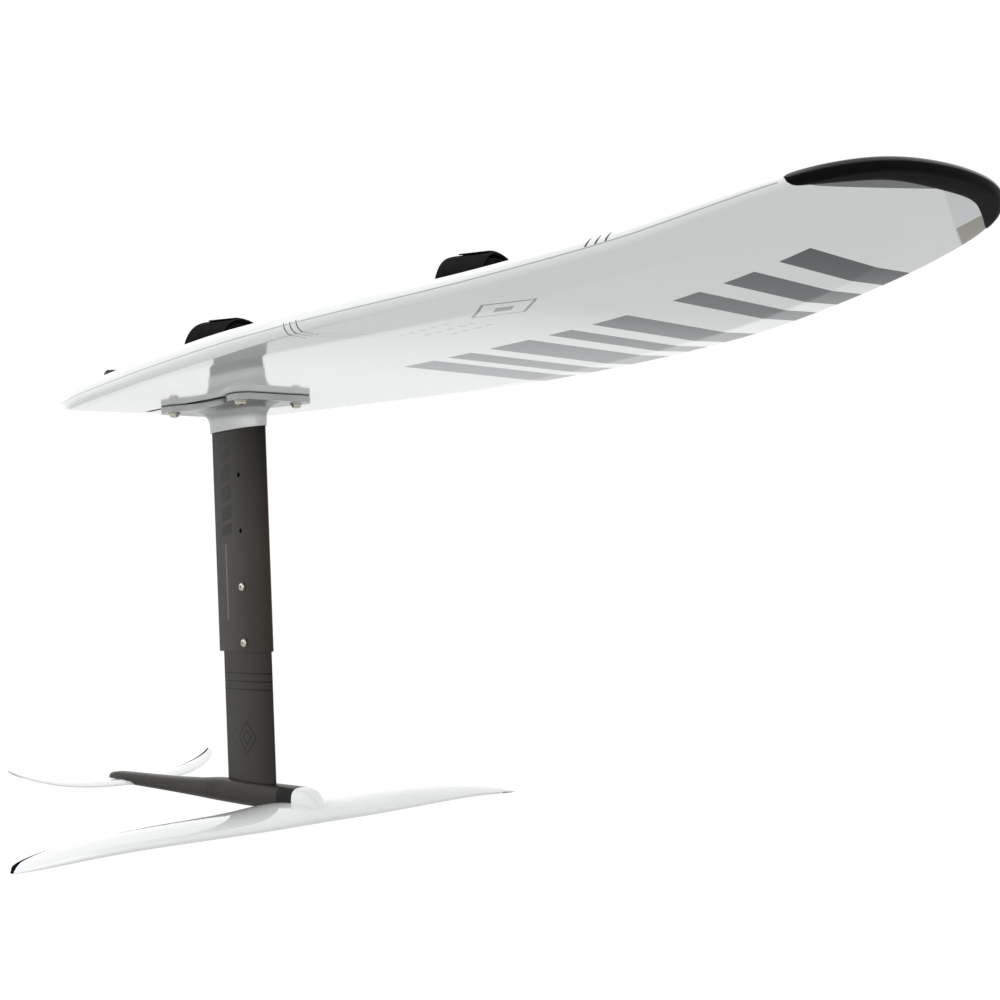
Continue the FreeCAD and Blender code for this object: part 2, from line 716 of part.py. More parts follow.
def half_section(front, chord, thickness, tail, grow=0.0):
    """Port half of a symmetric strut section: rounded nose at +X, blunt thin tail."""
    steps = 15
    points = []
    for i in range(steps + 1):
        u = (1 - math.cos(math.pi * i / steps)) / 2
        y = thickness / 0.2 * (0.2969 * math.sqrt(u) - 0.1260 * u - 0.3516 * u ** 2
                               + 0.2843 * u ** 3 - 0.1015 * u ** 4)
        y = max(y, 0.0)
        # fuller flanks than the plain series, and a blunt tail
        y = y * (1 + 0.10 * math.sin(math.pi * min(1.0, u * 1.05))) / 1.10
        y += tail / 2 * u
        points.append((front + grow - u * (chord + 2 * grow), y + grow * (1 if i else 0)))
    return points


def strut_sketch(body, name, offset, form, grow=0.0):
    sketch = new_sketch(body, "XY_Plane", name, offset)
    port = half_section(grow=grow, **form)
    starboard = [(x, -y) for x, y in port[1:]]
    blunt_profile(sketch, starboard[::-1] + port)
    return sketch


def half_thickness(form, x):
    points = half_section(**form)
    for (x0, y0), (x1, y1) in zip(points, points[1:]):
        if x1 <= x <= x0:
            return y0 + (y1 - y0) * (x0 - x) / (x0 - x1)
    return 0.0


# ---------------------------------------------------------------- base plate
PLATE_TOP = -(dim("gasket_gap") + dim("gasket_thick"))
PLATE_TOP_EXPR = "-(dims.gasket_gap + dims.gasket_thick)"
PLATE_LOW = PLATE_TOP - dim("plate_thick")
PLATE_BOLTS = [(sx * dim("bolt_x"), sy * dim("bolt_y")) for sx in (-1, 1) for sy in (-1, 1)]
# bolts on the centre line, at the head and again at the foot of the mast
MAST_BOLTS = [(dim("bolt_aft"), 0), (dim("bolt_fore"), 0)]
BOLT_CLEAR, BOLT_SINK = 4.3, 7.8


def plate_ring():
    """Four-lobed outline, mirrored from its forward port quarter."""
    end, side = dim("plate_halflength"), dim("plate_halfwidth")
    quarter = [(end, 0), (end, 18), (end + 1.0, 34), (end - 1.0, 49), (end - 11, side - 2.0),
               (end - 26, side), (end - 40, side - 3.5),
               (52, 49), (34, 43.5), (16, 41.5), (0, 41)]
    back = quarter[::-1]
    return (quarter + [(-x, y) for x, y in back[1:]]
            + [(-x, -y) for x, y in quarter[1:]] + [(x, -y) for x, y in back[1:-1]])


def round_plate_rim(body):
    """Round the lower rim of the flange."""
    rim = []
    for i, edge in enumerate(body.Shape.Edges):
        box = edge.BoundBox
        if box.ZLength < 0.01 and abs(box.ZMin - PLATE_LOW) < 0.01 and box.XLength > 200:
            rim.append("Edge%d" % (i + 1))
    if not rim:
        return
    fillet = body.newObject("PartDesign::Fillet", "plate_rim_round")
    fillet.Base = (body.Tip, rim)
    fillet.Radius = 3.0
    doc.recompute()
    # guards against a rim that cannot be rounded: the plate then keeps its sharp edge
    if not fillet.isValid() or body.Shape.isNull() or not body.Shape.isValid():
        body.removeObject(fillet)
        doc.removeObject(fillet.Name)
        doc.recompute()


def base_plate():
    """Flange, flared neck and a collar around the mast head."""
    body = new_body("base_plate")
    sketch = new_sketch(body, "XY_Plane", "plate_outline", PLATE_TOP_EXPR)
    spline(sketch, plate_ring())
    pad(body, sketch, "plate_flange", "dims.plate_thick", reverse=True)

    front = dim("sleeve_front") + dim("collar_wall")
    back = dim("sleeve_front") - dim("sleeve_chord") - dim("collar_wall") - 1.0
    # height, reach beyond the collar at either end, half width, superellipse power
    neck = [(PLATE_LOW + 1.2, 27, 38, 2.15), (PLATE_LOW - 3.2, 12, 24.5, 2.1),
            (PLATE_LOW - 10, 3.4, 16.4, 2.05), (PLATE_LOW - 18, 0.8, 14.3, 2.0),
            ("dims.collar_bottom", 0, 13.6, 2.0)]
    sketches = []
    for k, (height, reach, half_width, power) in enumerate(neck):
        sketch = new_sketch(body, "XY_Plane", "neck_%d" % k, height)
        spline(sketch, oval(front + reach, back - reach, half_width, power))
        sketches.append(sketch)
    loft(body, sketches, "plate_neck")

    sketch = strut_sketch(body, "mast_socket", "dims.collar_bottom", SLEEVE, grow=0.06)
    pocket(body, sketch, "mast_socket_pocket",
           "dims.sleeve_top - dims.collar_bottom + 0.06", reverse=True)
    drill(body, "plate_bolt_circles", "plate_bolt_holes", PLATE_TOP_EXPR, PLATE_BOLTS,
          dim("plate_hole"), "dims.plate_thick + 1", alias="plate_hole")
    drill(body, "head_bolt_circles", "head_bolt_holes", PLATE_TOP_EXPR, MAST_BOLTS,
          BOLT_CLEAR, 14)
    drill(body, "head_bolt_sinks", "head_bolt_sink_pockets", PLATE_TOP_EXPR, MAST_BOLTS,
          BOLT_SINK, 5.2)
    round_plate_rim(body)
    return body


def plate_gasket():
    """Sheet between plate and board."""
    body = new_body("plate_gasket")
    sketch = new_sketch(body, "XY_Plane", "gasket_outline", "-dims.gasket_gap")
    spline(sketch, [(x * 0.992, y * 0.99) for x, y in plate_ring()])
    for x, y in PLATE_BOLTS:
        circle(sketch, x, y, dim("plate_hole") + 0.3)
    pad(body, sketch, "gasket_sheet", "dims.gasket_thick - 0.02", reverse=True)
    return body


def plate_fasteners():
    """Screws from below, their washers, and the nuts in the tracks."""
    nut_low = dim("slot_lip") + 0.1
    seat = PLATE_LOW - dim("washer_thick") - 0.04
    form = screw_form("plate_screw_form", shank=dim("screw_shank"),
                      length=nut_low + dim("nut_height") + 1.0 - seat,
                      head=dim("head_radius"), head_height=dim("head_height"),
                      socket=3.0, socket_depth=2.6)
    screws = spread("plate_screws", form, [(x, y, seat) for x, y in PLATE_BOLTS])
    washers, nuts = [], []
    for k, (x, y) in enumerate(PLATE_BOLTS):
        along = "%d * dims.bolt_x" % (1 if x > 0 else -1)
        across = "%d * dims.bolt_y" % (1 if y > 0 else -1)
        disc = primitive("Cylinder", "washer_disc_%d" % k,
                         (along, across, PLATE_LOW - 0.02 - dim("washer_thick")),
                         Radius="dims.washer_radius", Height="dims.washer_thick")
        eye = primitive("Cylinder", "washer_eye_%d" % k, (along, across, PLATE_LOW - 5),
                        Radius="dims.plate_hole", Height=10)
        washers.append(cut("washer_%d" % k, disc, eye))
        bar = primitive(
            "Box", "nut_bar_%d" % k,
            (along + " - dims.nut_length / 2", across + " - dims.nut_width / 2", nut_low),
            Length="dims.nut_length", Width="dims.nut_width", Height="dims.nut_height")
        eye = primitive("Cylinder", "nut_eye_%d" % k, (along, across, nut_low - 2),
                        Radius="dims.screw_shank + 0.08", Height="dims.nut_height + 4")
        nuts.append(cut("nut_%d" % k, bar, eye))
    return [screws, group("plate_washers", washers), group("track_nuts", nuts)]


# ---------------------------------------------------------------- mast
HOLE_X = dim("hole_x")
HEIGHT_HOLES = [(HOLE_X, dim("hole_low") + k * dim("hole_pitch")) for k in range(4)]


def upper_mast():
    """Hollow outer sleeve with a row of holes in its starboard flank."""
    body = new_body("upper_mast")
    sketch = strut_sketch(body, "sleeve_outer", "dims.sleeve_bottom", SLEEVE)
    pad(body, sketch, "sleeve_extrusion", "dims.sleeve_top - dims.sleeve_bottom")
    sketch = strut_sketch(body, "sleeve_inner", "dims.sleeve_bottom", STRUT,
                          grow=dim("slide_gap"))
    pocket(body, sketch, "sleeve_cavity", "dims.sleeve_top - dims.sleeve_bottom + 1",
           reverse=True)
    drill(body, "height_hole_circles", "height_holes", None, HEIGHT_HOLES,
          dim("height_hole"), 30, alias="height_hole", role="XZ_Plane", reverse=True,
          probe=(HOLE_X, -8.6, dim("hole_low")))
    return body


def mast_head_insert():
    """Block inside the top of the sleeve that takes the vertical screws."""
    body = new_body("mast_head_insert")
    sketch = strut_sketch(body, "head_insert_outline", "dims.sleeve_top - dims.insert_depth",
                          STRUT, grow=dim("slide_gap") - 0.06)
    pad(body, sketch, "head_insert_block", "dims.insert_depth - 0.1")
    drill(body, "head_insert_threads", "head_insert_bores", "dims.sleeve_top", MAST_BOLTS,
          3.98, 40)
    return body


def mast_head_screws():
    form = screw_form("head_screw_form", shank=3.9, length=38.0, head=7.5,
                      socket=2.9, socket_depth=2.4)
    return spread("mast_head_screws", form, [(x, y, PLATE_TOP - 0.8) for x, y in MAST_BOLTS],
                  FreeCAD.Rotation(Vector(1, 0, 0), 180))


def height_screws():
    """Screws that clamp the inner mast at the chosen height."""
    outside = max(half_thickness(SLEEVE, HOLE_X + step) for step in range(-6, 7, 2))
    inside = half_thickness(STRUT, HOLE_X)
    form = screw_form("height_screw_form", shank=2.95, length=outside - inside - 0.12,
                      head=5.9, head_height=3.3, socket=2.3, socket_depth=2.2)
    return spread("height_screws", form,
                  [(x, -(outside + 0.05), z) for x, z in HEIGHT_HOLES[:2]],
                  FreeCAD.Rotation(Vector(1, 0, 0), -90))


def lower_mast():
    """Inner strut, threaded for the height screws and for the foot screws."""
    body = new_body("lower_mast")
    sketch = strut_sketch(body, "strut_outline", "dims.inner_bottom", STRUT)
    pad(body, sketch, "strut_extrusion", "dims.inner_top - dims.inner_bottom")
    drill(body, "strut_thread_circles", "strut_threads", None, HEIGHT_HOLES[:2], 2.6, 20,
          role="XZ_Plane", reverse=True, probe=(HOLE_X, -5.0, dim("hole_low")))
    drill(body, "strut_foot_circles", "strut_foot_threads", "dims.inner_bottom", MAST_BOLTS,
          dim("foot_screw") + 0.08, 42, reverse=True)
    return body


# ---------------------------------------------------------------- fuselage
BAR_TOP, BAR_LOW = dim("fuse_top"), dim("fuse_bottom")
BAR_HALF = dim("fuse_halfwidth")
# x, top, bottom, half width
BAR_FORM = [
    (-376.0, -538.5, -546.0, 4.0), (-371.0, -535.6, -547.0, 7.0),
    (-358.0, -532.8, -548.2, 9.6), (-330.0, -531.4, -549.0, 11.0),
    (-280.0, -530.6, -549.6, 11.8), (-200.0, -529.2, -550.8, 13.0),
    (-120.0, -526.0, -552.4, 14.8), (-60.0, BAR_TOP, BAR_LOW + 1.0, 16.8),
    (0.0, BAR_TOP, BAR_LOW, BAR_HALF)]
BAR_STATIONS = [
    -376.0, -371.0, -358.0, -330.0, -295.0, -260.0, -220.0, -180.0, -150.0, -120.0, -100.0,
    -80.0, -60.0, -40.0, -20.0, 0.0, 18.0, 36.0, 54.0, 66.0, 78.0]
WING_BOLTS = [(103.0, 0), (120.0, 0), (137.0, 0)]
STAB_BOLTS = [(-316.0, 0), (-344.0, 0)]
BAR_DRILL = "dims.fuse_bottom - 5"  # level below the bar where its holes start
FOOT_SINK_DEPTH = 7  # floor of the sinks above the bar's underside


def bar_section(grow=0.0):
    return round_box(BAR_TOP + grow, BAR_LOW - grow, BAR_HALF + grow)


def tongue_section(grow=0.0):
    return round_box(dim("tongue_top") + grow, dim("tongue_bottom") - grow,
                     dim("tongue_width") / 2 + grow, 5.0)


def fuselage():
    """Tapering bar with a tongue at its front end."""
    body = new_body("fuselage")
    top, bottom, half_width = pchips(BAR_FORM)
    sketches = []
    for k, x in enumerate(BAR_STATIONS):
        sketch = new_sketch(body, "YZ_Plane", "fuse_%d" % k, x)
        spline(sketch, round_box(top(x), bottom(x), half_width(x)))
        sketches.append(sketch)
    sketch = new_sketch(body, "YZ_Plane", "fuse_front_section", "dims.fuse_front")
    spline(sketch, bar_section())
    sketches.append(sketch)
    loft(body, sketches, "fuse_form")

    sketch = new_sketch(body, "YZ_Plane", "tongue_section", "dims.fuse_front - 1")
    spline(sketch, tongue_section())
    pad(body, sketch, "fuse_tongue", "dims.tongue_front - dims.fuse_front + 1")
    sketch = strut_sketch(body, "mast_pocket_outline", "dims.fuse_top + 2", STRUT, grow=0.08)
    pocket(body, sketch, "mast_pocket", "dims.fuse_top + 2 - dims.inner_bottom + 0.05")
    # the tail is cut away below the level where the rear wing seats
    step_x = dim("tail_step")
    sketch = new_sketch(body, "XY_Plane", "tail_seat_outline", "dims.tail_cut")
    polygon(sketch, [(-400, -30), (step_x, -30), (step_x, 30), (-400, 30)])
    pocket(body, sketch, "tail_seat", 30)

    bolt_x = MAST_BOLTS[0][0]
    drill(body, "mast_bolt_circles", "mast_bolt_holes", BAR_DRILL, MAST_BOLTS, BOLT_CLEAR,
          40, reverse=True, probe=(bolt_x, 0, -543))
    drill(body, "mast_bolt_sinks", "mast_bolt_sink_pockets", BAR_DRILL, MAST_BOLTS,
          BOLT_SINK, 5 + FOOT_SINK_DEPTH, reverse=True, probe=(bolt_x + 6, 0, -551))
    drill(body, "wing_thread_circles", "wing_threads", "dims.tongue_bottom - 5", WING_BOLTS,
          dim("wing_screw") + 0.08, 25, reverse=True, probe=(WING_BOLTS[1][0], 0, -545))
    drill(body, "stab_thread_circles", "stab_threads", "dims.tail_cut - 2", STAB_BOLTS,
          dim("stab_screw") + 0.08, 10, reverse=True,
          probe=(STAB_BOLTS[0][0], 0, dim("tail_cut") + 3))

    # three upright grooves in the port flank, cut from the middle plane outwards
    sketch = new_sketch(body, "XZ_Plane", "groove_outlines")
    for k in range(3):
        aft = -80.0 + 8.0 * k
        fore = aft + 1.6
        polygon(sketch, [(aft, -547), (fore, -547), (fore, -530), (aft, -530)])
    pocket(body, sketch, "flank_grooves", 60)
    # refilling the middle of the bar leaves the grooves shallow
    sketch = new_sketch(body, "YZ_Plane", "groove_core", -84)
    spline(sketch, round_box(-527.5, -551.0, 15.6 - 0.35))
    pad(body, sketch, "groove_core_bar", 24)
    return body


def mast_foot_screws():
    form = screw_form("foot_screw_form", shank=dim("foot_screw"), length=46.0, head=7.5,
                      socket=2.9, socket_depth=2.4)
    return spread("mast_foot_screws", form,
                  [(x, y, BAR_LOW + FOOT_SINK_DEPTH - 4.3) for x, y in MAST_BOLTS])


def wing_collar():
    """Ring around the tongue that fills the joint between bar and wing pod."""
    body = new_body("wing_collar")
    sketch = new_sketch(body, "YZ_Plane", "wing_collar_outline", "dims.fuse_front + 0.06")
    spline(sketch, bar_section(0.1))
    spline(sketch, tongue_section(0.08))
    pad(body, sketch, "wing_collar_ring", "dims.collar_front - dims.fuse_front - 0.12")
    drill(body, "wing_collar_hole", "wing_collar_bore", BAR_DRILL, WING_BOLTS[:2],
          dim("wing_screw") + 0.3, 12, reverse=True, probe=(WING_BOLTS[0][0], 0, -554))
    return body


# ---------------------------------------------------------------- wings
# share of the half span, leading edge x, chord, height
WING_PLAN = [
    (0, 179.0, 176.0, -560.0), (0.2, 178.6, 175.5, -559.6), (0.4, 175.0, 170.5, -559.0),
    (0.6, 165.0, 155.0, -560.0), (0.8, 147.0, 122.0, -565.0), (0.93, 129.0, 77.0, -571.5),
    (1.0, 112.0, 14.0, -576.0)]
WING_RIBS = [0.0, 0.05, 0.1, 0.15, 0.21, 0.3, 0.45, 0.65, 0.8, 0.9, 0.955, 0.985, 1.0]
# share of the half span, leading edge x, trailing edge x, height
STAB_PLAN = [
    (0, -295, -357, -546), (0.15, -296, -358, -546), (0.3, -298, -359, -545.2),
    (0.45, -302, -361, -543.6), (0.6, -309, -363, -540.4), (0.75, -320, -366, -535),
    (0.88, -334, -369, -527.4), (0.96, -348, -371, -520.6), (1.0, -362.0, -372.0, -515.5)]
STAB_RIBS = [0, 0.14, 0.35, 0.55, 0.72, 0.85, 0.93, 0.98, 1]
# x, top, bottom, half width, superellipse power
POD_FORM = [
    ("dims.collar_front", BAR_TOP, BAR_LOW - 4, BAR_HALF, 3.0),
    (137.0, BAR_TOP - 0.6, BAR_LOW - 5.0, BAR_HALF - 0.4, 3.0),
    (147.0, BAR_TOP - 3.0, BAR_LOW - 6.0, BAR_HALF - 1.6, 2.9),
    (158.0, BAR_TOP - 10.5, BAR_LOW - 7.0, BAR_HALF - 4.5, 2.5),
    (168.0, BAR_TOP - 21.5, BAR_LOW - 8.0, BAR_HALF - 8.5, 2.2),
    (175.5, BAR_TOP - 32.0, BAR_LOW - 8.5, 4.5, 2.0)]
CAMBER, CAMBER_PLACE = 0.025, 0.42
# level where the holes start, and floor of the screw sinks
WING_DRILL, WING_SINK = -600, -563.2
STAB_DRILL, STAB_SINK = -570, -546.2


def tip_to_tip(shares):
    return [-share for share in shares[:0:-1]] + shares


def wing_rib(body, name, offset, leading, chord, height, thickness, incidence, tail=0.9):
    """Cambered section in X and Z; positive incidence (in degrees) lowers the tail."""
    steps = 13
    tilt = math.radians(incidence)
    upper, lower = [], []
    for i in range(steps + 1):
        u = (1 - math.cos(math.pi * i / steps)) / 2
        half = 5 * thickness * chord * (0.2969 * math.sqrt(u) - 0.126 * u - 0.3516 * u * u
                                        + 0.2843 * u ** 3 - 0.1036 * u ** 4) + tail / 2 * u
        bow = 2 * CAMBER_PLACE * u - u * u
        if u < CAMBER_PLACE:
            mean = CAMBER / CAMBER_PLACE ** 2 * bow
        else:
            mean = CAMBER / (1 - CAMBER_PLACE) ** 2 * ((1 - 2 * CAMBER_PLACE) + bow)
        mean *= chord
        for sign, side in ((1, upper), (-1, lower)):
            z = mean + sign * half
            side.append((leading - chord * u * math.cos(tilt) - z * math.sin(tilt),
                         height - chord * u * math.sin(tilt) + z * math.cos(tilt)))
    sketch = new_sketch(body, "XZ_Plane", name, offset)
    blunt_profile(sketch, upper[::-1] + lower[1:])
    return sketch


def front_wing():
    """Wing from starboard to port tip, with a pod at its root that takes the bar's tongue."""
    body = new_body("front_wing")
    leading, chord, height = pchips(WING_PLAN)
    sketches = []
    for k, share in enumerate(tip_to_tip(WING_RIBS)):
        out = abs(share)
        # the root swells into the pod
        root = math.exp(-(out / 0.15) ** 2)
        sketches.append(wing_rib(
            body, "wing_rib_%d" % k, "%.4f * dims.wing_half" % -share,
            leading(out), chord(out), height(out) + 3.0 * root,
            thickness=dim("wing_thick") + 0.037 * root,
            incidence=0.5 + 3.0 * out + 1.0 * root))
    loft(body, sketches, "wing_form")
    sketches = []
    for k, (x, top, bottom, half_width, power) in enumerate(POD_FORM):
        sketch = new_sketch(body, "YZ_Plane", "pod_%d" % k, x)
        spline(sketch, round_box(top, bottom, half_width, power))
        sketches.append(sketch)
    loft(body, sketches, "pod_form")

    sketch = new_sketch(body, "YZ_Plane", "saddle_section", -40)
    spline(sketch, bar_section(0.2))
    pocket(body, sketch, "saddle", "dims.collar_front + 40", reverse=True,
           probe=(60, 0, -552))
    sketch = new_sketch(body, "YZ_Plane", "socket_section", "dims.collar_front - 1")
    spline(sketch, tongue_section(0.1))
    pocket(body, sketch, "tongue_socket", "dims.tongue_front - dims.collar_front + 1.2",
           reverse=True, probe=(138, 0, -540))
    bolt_x = WING_BOLTS[1][0]
    drill(body, "wing_bolt_circles", "wing_bolt_holes", WING_DRILL, WING_BOLTS,
          dim("wing_screw") + 0.3, 55, reverse=True, probe=(bolt_x, 0, -562))
    drill(body, "wing_bolt_sinks", "wing_bolt_sink_pockets", WING_DRILL, WING_BOLTS,
          6.3, WING_SINK - WING_DRILL, reverse=True, probe=(bolt_x + 5, 0, -564.5))
    return body


def front_wing_screws():
    form = screw_form("wing_screw_form", shank=dim("wing_screw"), length=30.0, head=5.9,
                      socket=2.2, socket_depth=2.0)
    return spread("front_wing_screws", form, [(x, y, WING_SINK - 3.5) for x, y in WING_BOLTS])


def rear_wing():
    """Small wing with raised tips and a flat pad that seats under the bar's tail."""
    body = new_body("rear_wing")
    leading, trailing, height = pchips(STAB_PLAN)
    sketches = []
    for k, share in enumerate(tip_to_tip(STAB_RIBS)):
        out = abs(share)
        sketches.append(wing_rib(
            body, "stab_rib_%d" % k, "%.4f * dims.stab_half" % -share,
            leading(out), leading(out) - trailing(out), height(out),
            thickness=dim("stab_thick"), incidence=-1.0, tail=0.7))
    loft(body, sketches, "stab_form")

    step_x = dim("tail_step")
    sketch = new_sketch(body, "XY_Plane", "stab_pad_outline", "dims.tail_cut - 0.06")
    spline(sketch, oval(step_x - 1.0, -362.0, 11.0, power=2.4))
    pad(body, sketch, "stab_pad", 6.5, reverse=True)
    # everything above the pad is cleared for the bar
    sketch = new_sketch(body, "XY_Plane", "stab_pad_trim", "dims.tail_cut - 0.06")
    polygon(sketch, [(-400, -15), (step_x + 6, -15), (step_x + 6, 15), (-400, 15)])
    pocket(body, sketch, "stab_trim", 30, reverse=True,
           probe=(-330, 0, dim("tail_cut") + 0.3))
    bolt_x = STAB_BOLTS[0][0]
    drill(body, "stab_bolt_circles", "stab_bolt_holes", STAB_DRILL, STAB_BOLTS,
          dim("stab_screw") + 0.3, 60, reverse=True, probe=(bolt_x, 0, -546))
    drill(body, "stab_bolt_sinks", "stab_bolt_sink_pockets", STAB_DRILL, STAB_BOLTS,
          5.2, STAB_SINK - STAB_DRILL, reverse=True, probe=(bolt_x + 4.5, 0, -547.5))
    return body


def rear_wing_screws():
    form = screw_form("stab_screw_form", shank=dim("stab_screw"), length=11.2, head=4.9,
                      socket=1.8, socket_depth=1.6)
    return spread("rear_wing_screws", form, [(x, y, STAB_SINK - 3.0) for x, y in STAB_BOLTS])


# ---------------------------------------------------------------- assembly
outer = outer_form()
parts = board_parts()
parts += [nose_guard(), track_box("track_box_starboard", -1), track_box("track_box_port", 1),
          strap_inserts()]
parts += traction_pads()
parts += strap_parts()
parts += [base_plate(), plate_gasket()]
parts += plate_fasteners()
parts += [upper_mast(), mast_head_insert(), mast_head_screws(), height_screws(), lower_mast(),
          fuselage(), mast_foot_screws(), wing_collar(),
          front_wing(), front_wing_screws(), rear_wing(), rear_wing_screws()]

# ---------------------------------------------------------------- checks and export
doc.recompute()
bad = [o.Name for o in doc.Objects if any(word in ("Invalid", "Error") for word in o.State)]
if bad:
    raise RuntimeError("failed objects: " + ", ".join(bad))
for part in parts:
    shape = part.Shape
    if shape.isNull() or not shape.isValid() or not shape.Solids:
        raise RuntimeError("bad shape: " + part.Label)

os.makedirs("parts", exist_ok=True)
for old in os.listdir("parts"):
    if old.endswith(".step"):
        os.remove(os.path.join("parts", old))
for part in parts:
    solids = part.Shape.Solids
    shape = (solids[0] if len(solids) == 1 else Part.makeCompound(solids)).copy()
    shape.translate(Vector(-dim("origin_x"), 0, 0))
    shape.exportStep(os.path.join("parts", part.Label + ".step"))
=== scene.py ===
"""A foil board: board skin, nose bumper, traction pads and foot straps over the CAD pieces.

The nose points along +X, port is +Y and the deck faces +Z. Board tables are in millimetres, with
x measured from the mast plate's bolt pattern, which lies 260 mm aft of the frame's origin.
"""
import bpy, bmesh, math
import numpy as np
from functools import cached_property, reduce
from mathutils import Vector, Matrix

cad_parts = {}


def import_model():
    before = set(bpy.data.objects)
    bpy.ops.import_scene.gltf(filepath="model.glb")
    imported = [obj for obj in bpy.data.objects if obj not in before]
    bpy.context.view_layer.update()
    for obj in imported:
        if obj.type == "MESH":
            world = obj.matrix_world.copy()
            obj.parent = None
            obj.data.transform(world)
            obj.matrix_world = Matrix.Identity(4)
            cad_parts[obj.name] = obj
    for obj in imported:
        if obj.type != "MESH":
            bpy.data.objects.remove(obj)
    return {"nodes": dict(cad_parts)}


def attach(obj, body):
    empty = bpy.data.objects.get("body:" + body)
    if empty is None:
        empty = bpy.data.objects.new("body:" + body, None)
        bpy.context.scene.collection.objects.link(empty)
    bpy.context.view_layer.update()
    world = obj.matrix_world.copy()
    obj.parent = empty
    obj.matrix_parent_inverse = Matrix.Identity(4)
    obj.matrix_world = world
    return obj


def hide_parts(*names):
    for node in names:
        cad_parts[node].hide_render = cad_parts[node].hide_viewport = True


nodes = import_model()["nodes"]
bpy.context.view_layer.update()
scene = bpy.context.scene
MM = 0.001
OX = 0.260      # from the tables' origin forward to the frame's origin, m

# ------------------------------------------------------------------ board form
# Each table runs from tail to nose; columns are x and a value, both mm.
OUTLINE = [     # half width at the lower edge of the rail
    (-311, 0), (-310, 33), (-306, 62), (-295, 85), (-271, 107), (-238, 128), (-188.6, 150),
    (-88.6, 177), (11.4, 197), (111.4, 217), (211.4, 234), (311.4, 248), (411.4, 257.5),
    (511.4, 258.5), (611.4, 251), (711.4, 237), (811.4, 216), (911.4, 191.5), (980, 177),
    (1020, 166.5), (1050, 154), (1077, 133), (1097, 105), (1109, 73), (1115, 38), (1117, 0)]
ROCKER = [      # height of the flat bottom panel
    (-311, 12), (-290, 9), (-240, 4.8), (-200, 1.4), (-170, 0), (330, 0), (411.4, 0.6),
    (511.4, 1.9), (611.4, 4.0), (711.4, 7.6), (811.4, 15.3), (911.4, 27.0), (1011.4, 45.3),
    (1065, 58), (1117, 73)]
BEVEL = [       # rise from the panel to the lower edge of the rail
    (-311, 3), (-240, 1.6), (-188.6, 1.0), (11.4, 0.8), (211.4, 0.5), (311.4, 1.0), (411.4, 2.1),
    (511.4, 3.3), (611.4, 4.5), (811.4, 5), (911.4, 4.5), (1011.4, 4.0), (1117, 2)]
PANEL = [       # half width of the flat bottom panel
    (-311, 0), (-303, 30), (-292, 62), (-271, 90), (-238, 113), (-188.6, 137), (-88.6, 166),
    (11.4, 187), (111.4, 206), (211.4, 222), (311.4, 226), (411.4, 217.5), (511.4, 204.5),
    (611.4, 190), (711.4, 172), (811.4, 152), (911.4, 127.5), (980, 103), (1010, 82), (1028, 55),
    (1038, 28), (1042, 0), (1043, 0)]
THICKNESS = [   # height of the rail
    (-311, 15), (-300, 17.5), (-250, 21), (-188, 23.5), (-50, 27.5), (311, 27.5), (455, 24),
    (700, 19.5), (911, 16.5), (1011, 12.5), (1070, 10.5), (1117, 10)]

TAIL_X, NOSE_X = OUTLINE[0][0], OUTLINE[-1][0]
PANEL_END = 1042            # front end of the flat bottom panel
RAIL_INSET = 3.0            # the rail's upper edge lies this far inside its lower edge
RAIL_APEX = 0.42            # height of the rail's widest point, of the thickness
NOSE_FAN = (960, 75.0)      # beyond this x, sections converge within this length
TAIL_FAN = (-230, 45.0)
BOARD_STATIONS = 380
RAIL_STEPS = 16
# Fractions along a section: centre line to panel edge, bevel, deck edge to centre line
PANEL_STEPS = (0.0, 0.12, 0.3, 0.5, 0.7, 0.86, 0.95, 1.0)
BEVEL_STEPS = (0.06, 0.3, 0.6, 0.85, 0.95)
DECK_STEPS = (0.02, 0.06, 0.15, 0.3, 0.5, 0.7, 0.85, 1.0)

# Strap inserts: two rows of four threaded holes under each strap
STRAP_X = {"front": 512.0, "rear": -4.0}
INSERT_PITCH = 50.8
INSERT_Y = 98.0
INSERTS = [(strap_x + step * INSERT_PITCH, y) for strap_x in STRAP_X.values()
           for step in (-1.5, -0.5, 0.5, 1.5) for y in (-INSERT_Y, INSERT_Y)]
INSERT_DEPTH = 14.45
INSERT_RADIUS = 7.06

# Pockets for the two track boxes; y is for one side
POCKET_X, POCKET_Y, POCKET_Z = (-162.05, 108.05), (32.95, 57.05), (-10.0, 18.08)


def monotone_curve(table):
    """Smooth monotone curve through a table of (x, value)."""
    xs = [p[0] for p in table]
    ys = [p[1] for p in table]
    n = len(xs)
    slopes = [(ys[i + 1] - ys[i]) / (xs[i + 1] - xs[i]) for i in range(n - 1)]
    tangents = [slopes[0]] + [0.0] * (n - 2) + [slopes[-1]]
    for i in range(1, n - 1):
        if slopes[i - 1] * slopes[i] > 0:
            before, after = xs[i] - xs[i - 1], xs[i + 1] - xs[i]
            w0, w1 = 2 * after + before, after + 2 * before
            tangents[i] = (w0 + w1) / (w0 / slopes[i - 1] + w1 / slopes[i])

    def value(x):
        if x <= xs[0]:
            return float(ys[0])
        if x >= xs[-1]:
            return float(ys[-1])
        i = max(k for k in range(n - 1) if xs[k] <= x)
        span = xs[i + 1] - xs[i]
        t = (x - xs[i]) / span
        return (ys[i] * (1 + 2 * t) * (1 - t) ** 2 + tangents[i] * span * t * (1 - t) ** 2
                + ys[i + 1] * t * t * (3 - 2 * t) + tangents[i + 1] * span * t * t * (t - 1))
    return value


rocker, bevel = monotone_curve(ROCKER), monotone_curve(BEVEL)
panel_width, thickness = monotone_curve(PANEL), monotone_curve(THICKNESS)


def bulge(x):
    """How far the rail's widest point stands outside its lower edge."""
    return 8.0 * min(1.0, (1125 - x) / 250.0 + 0.35)


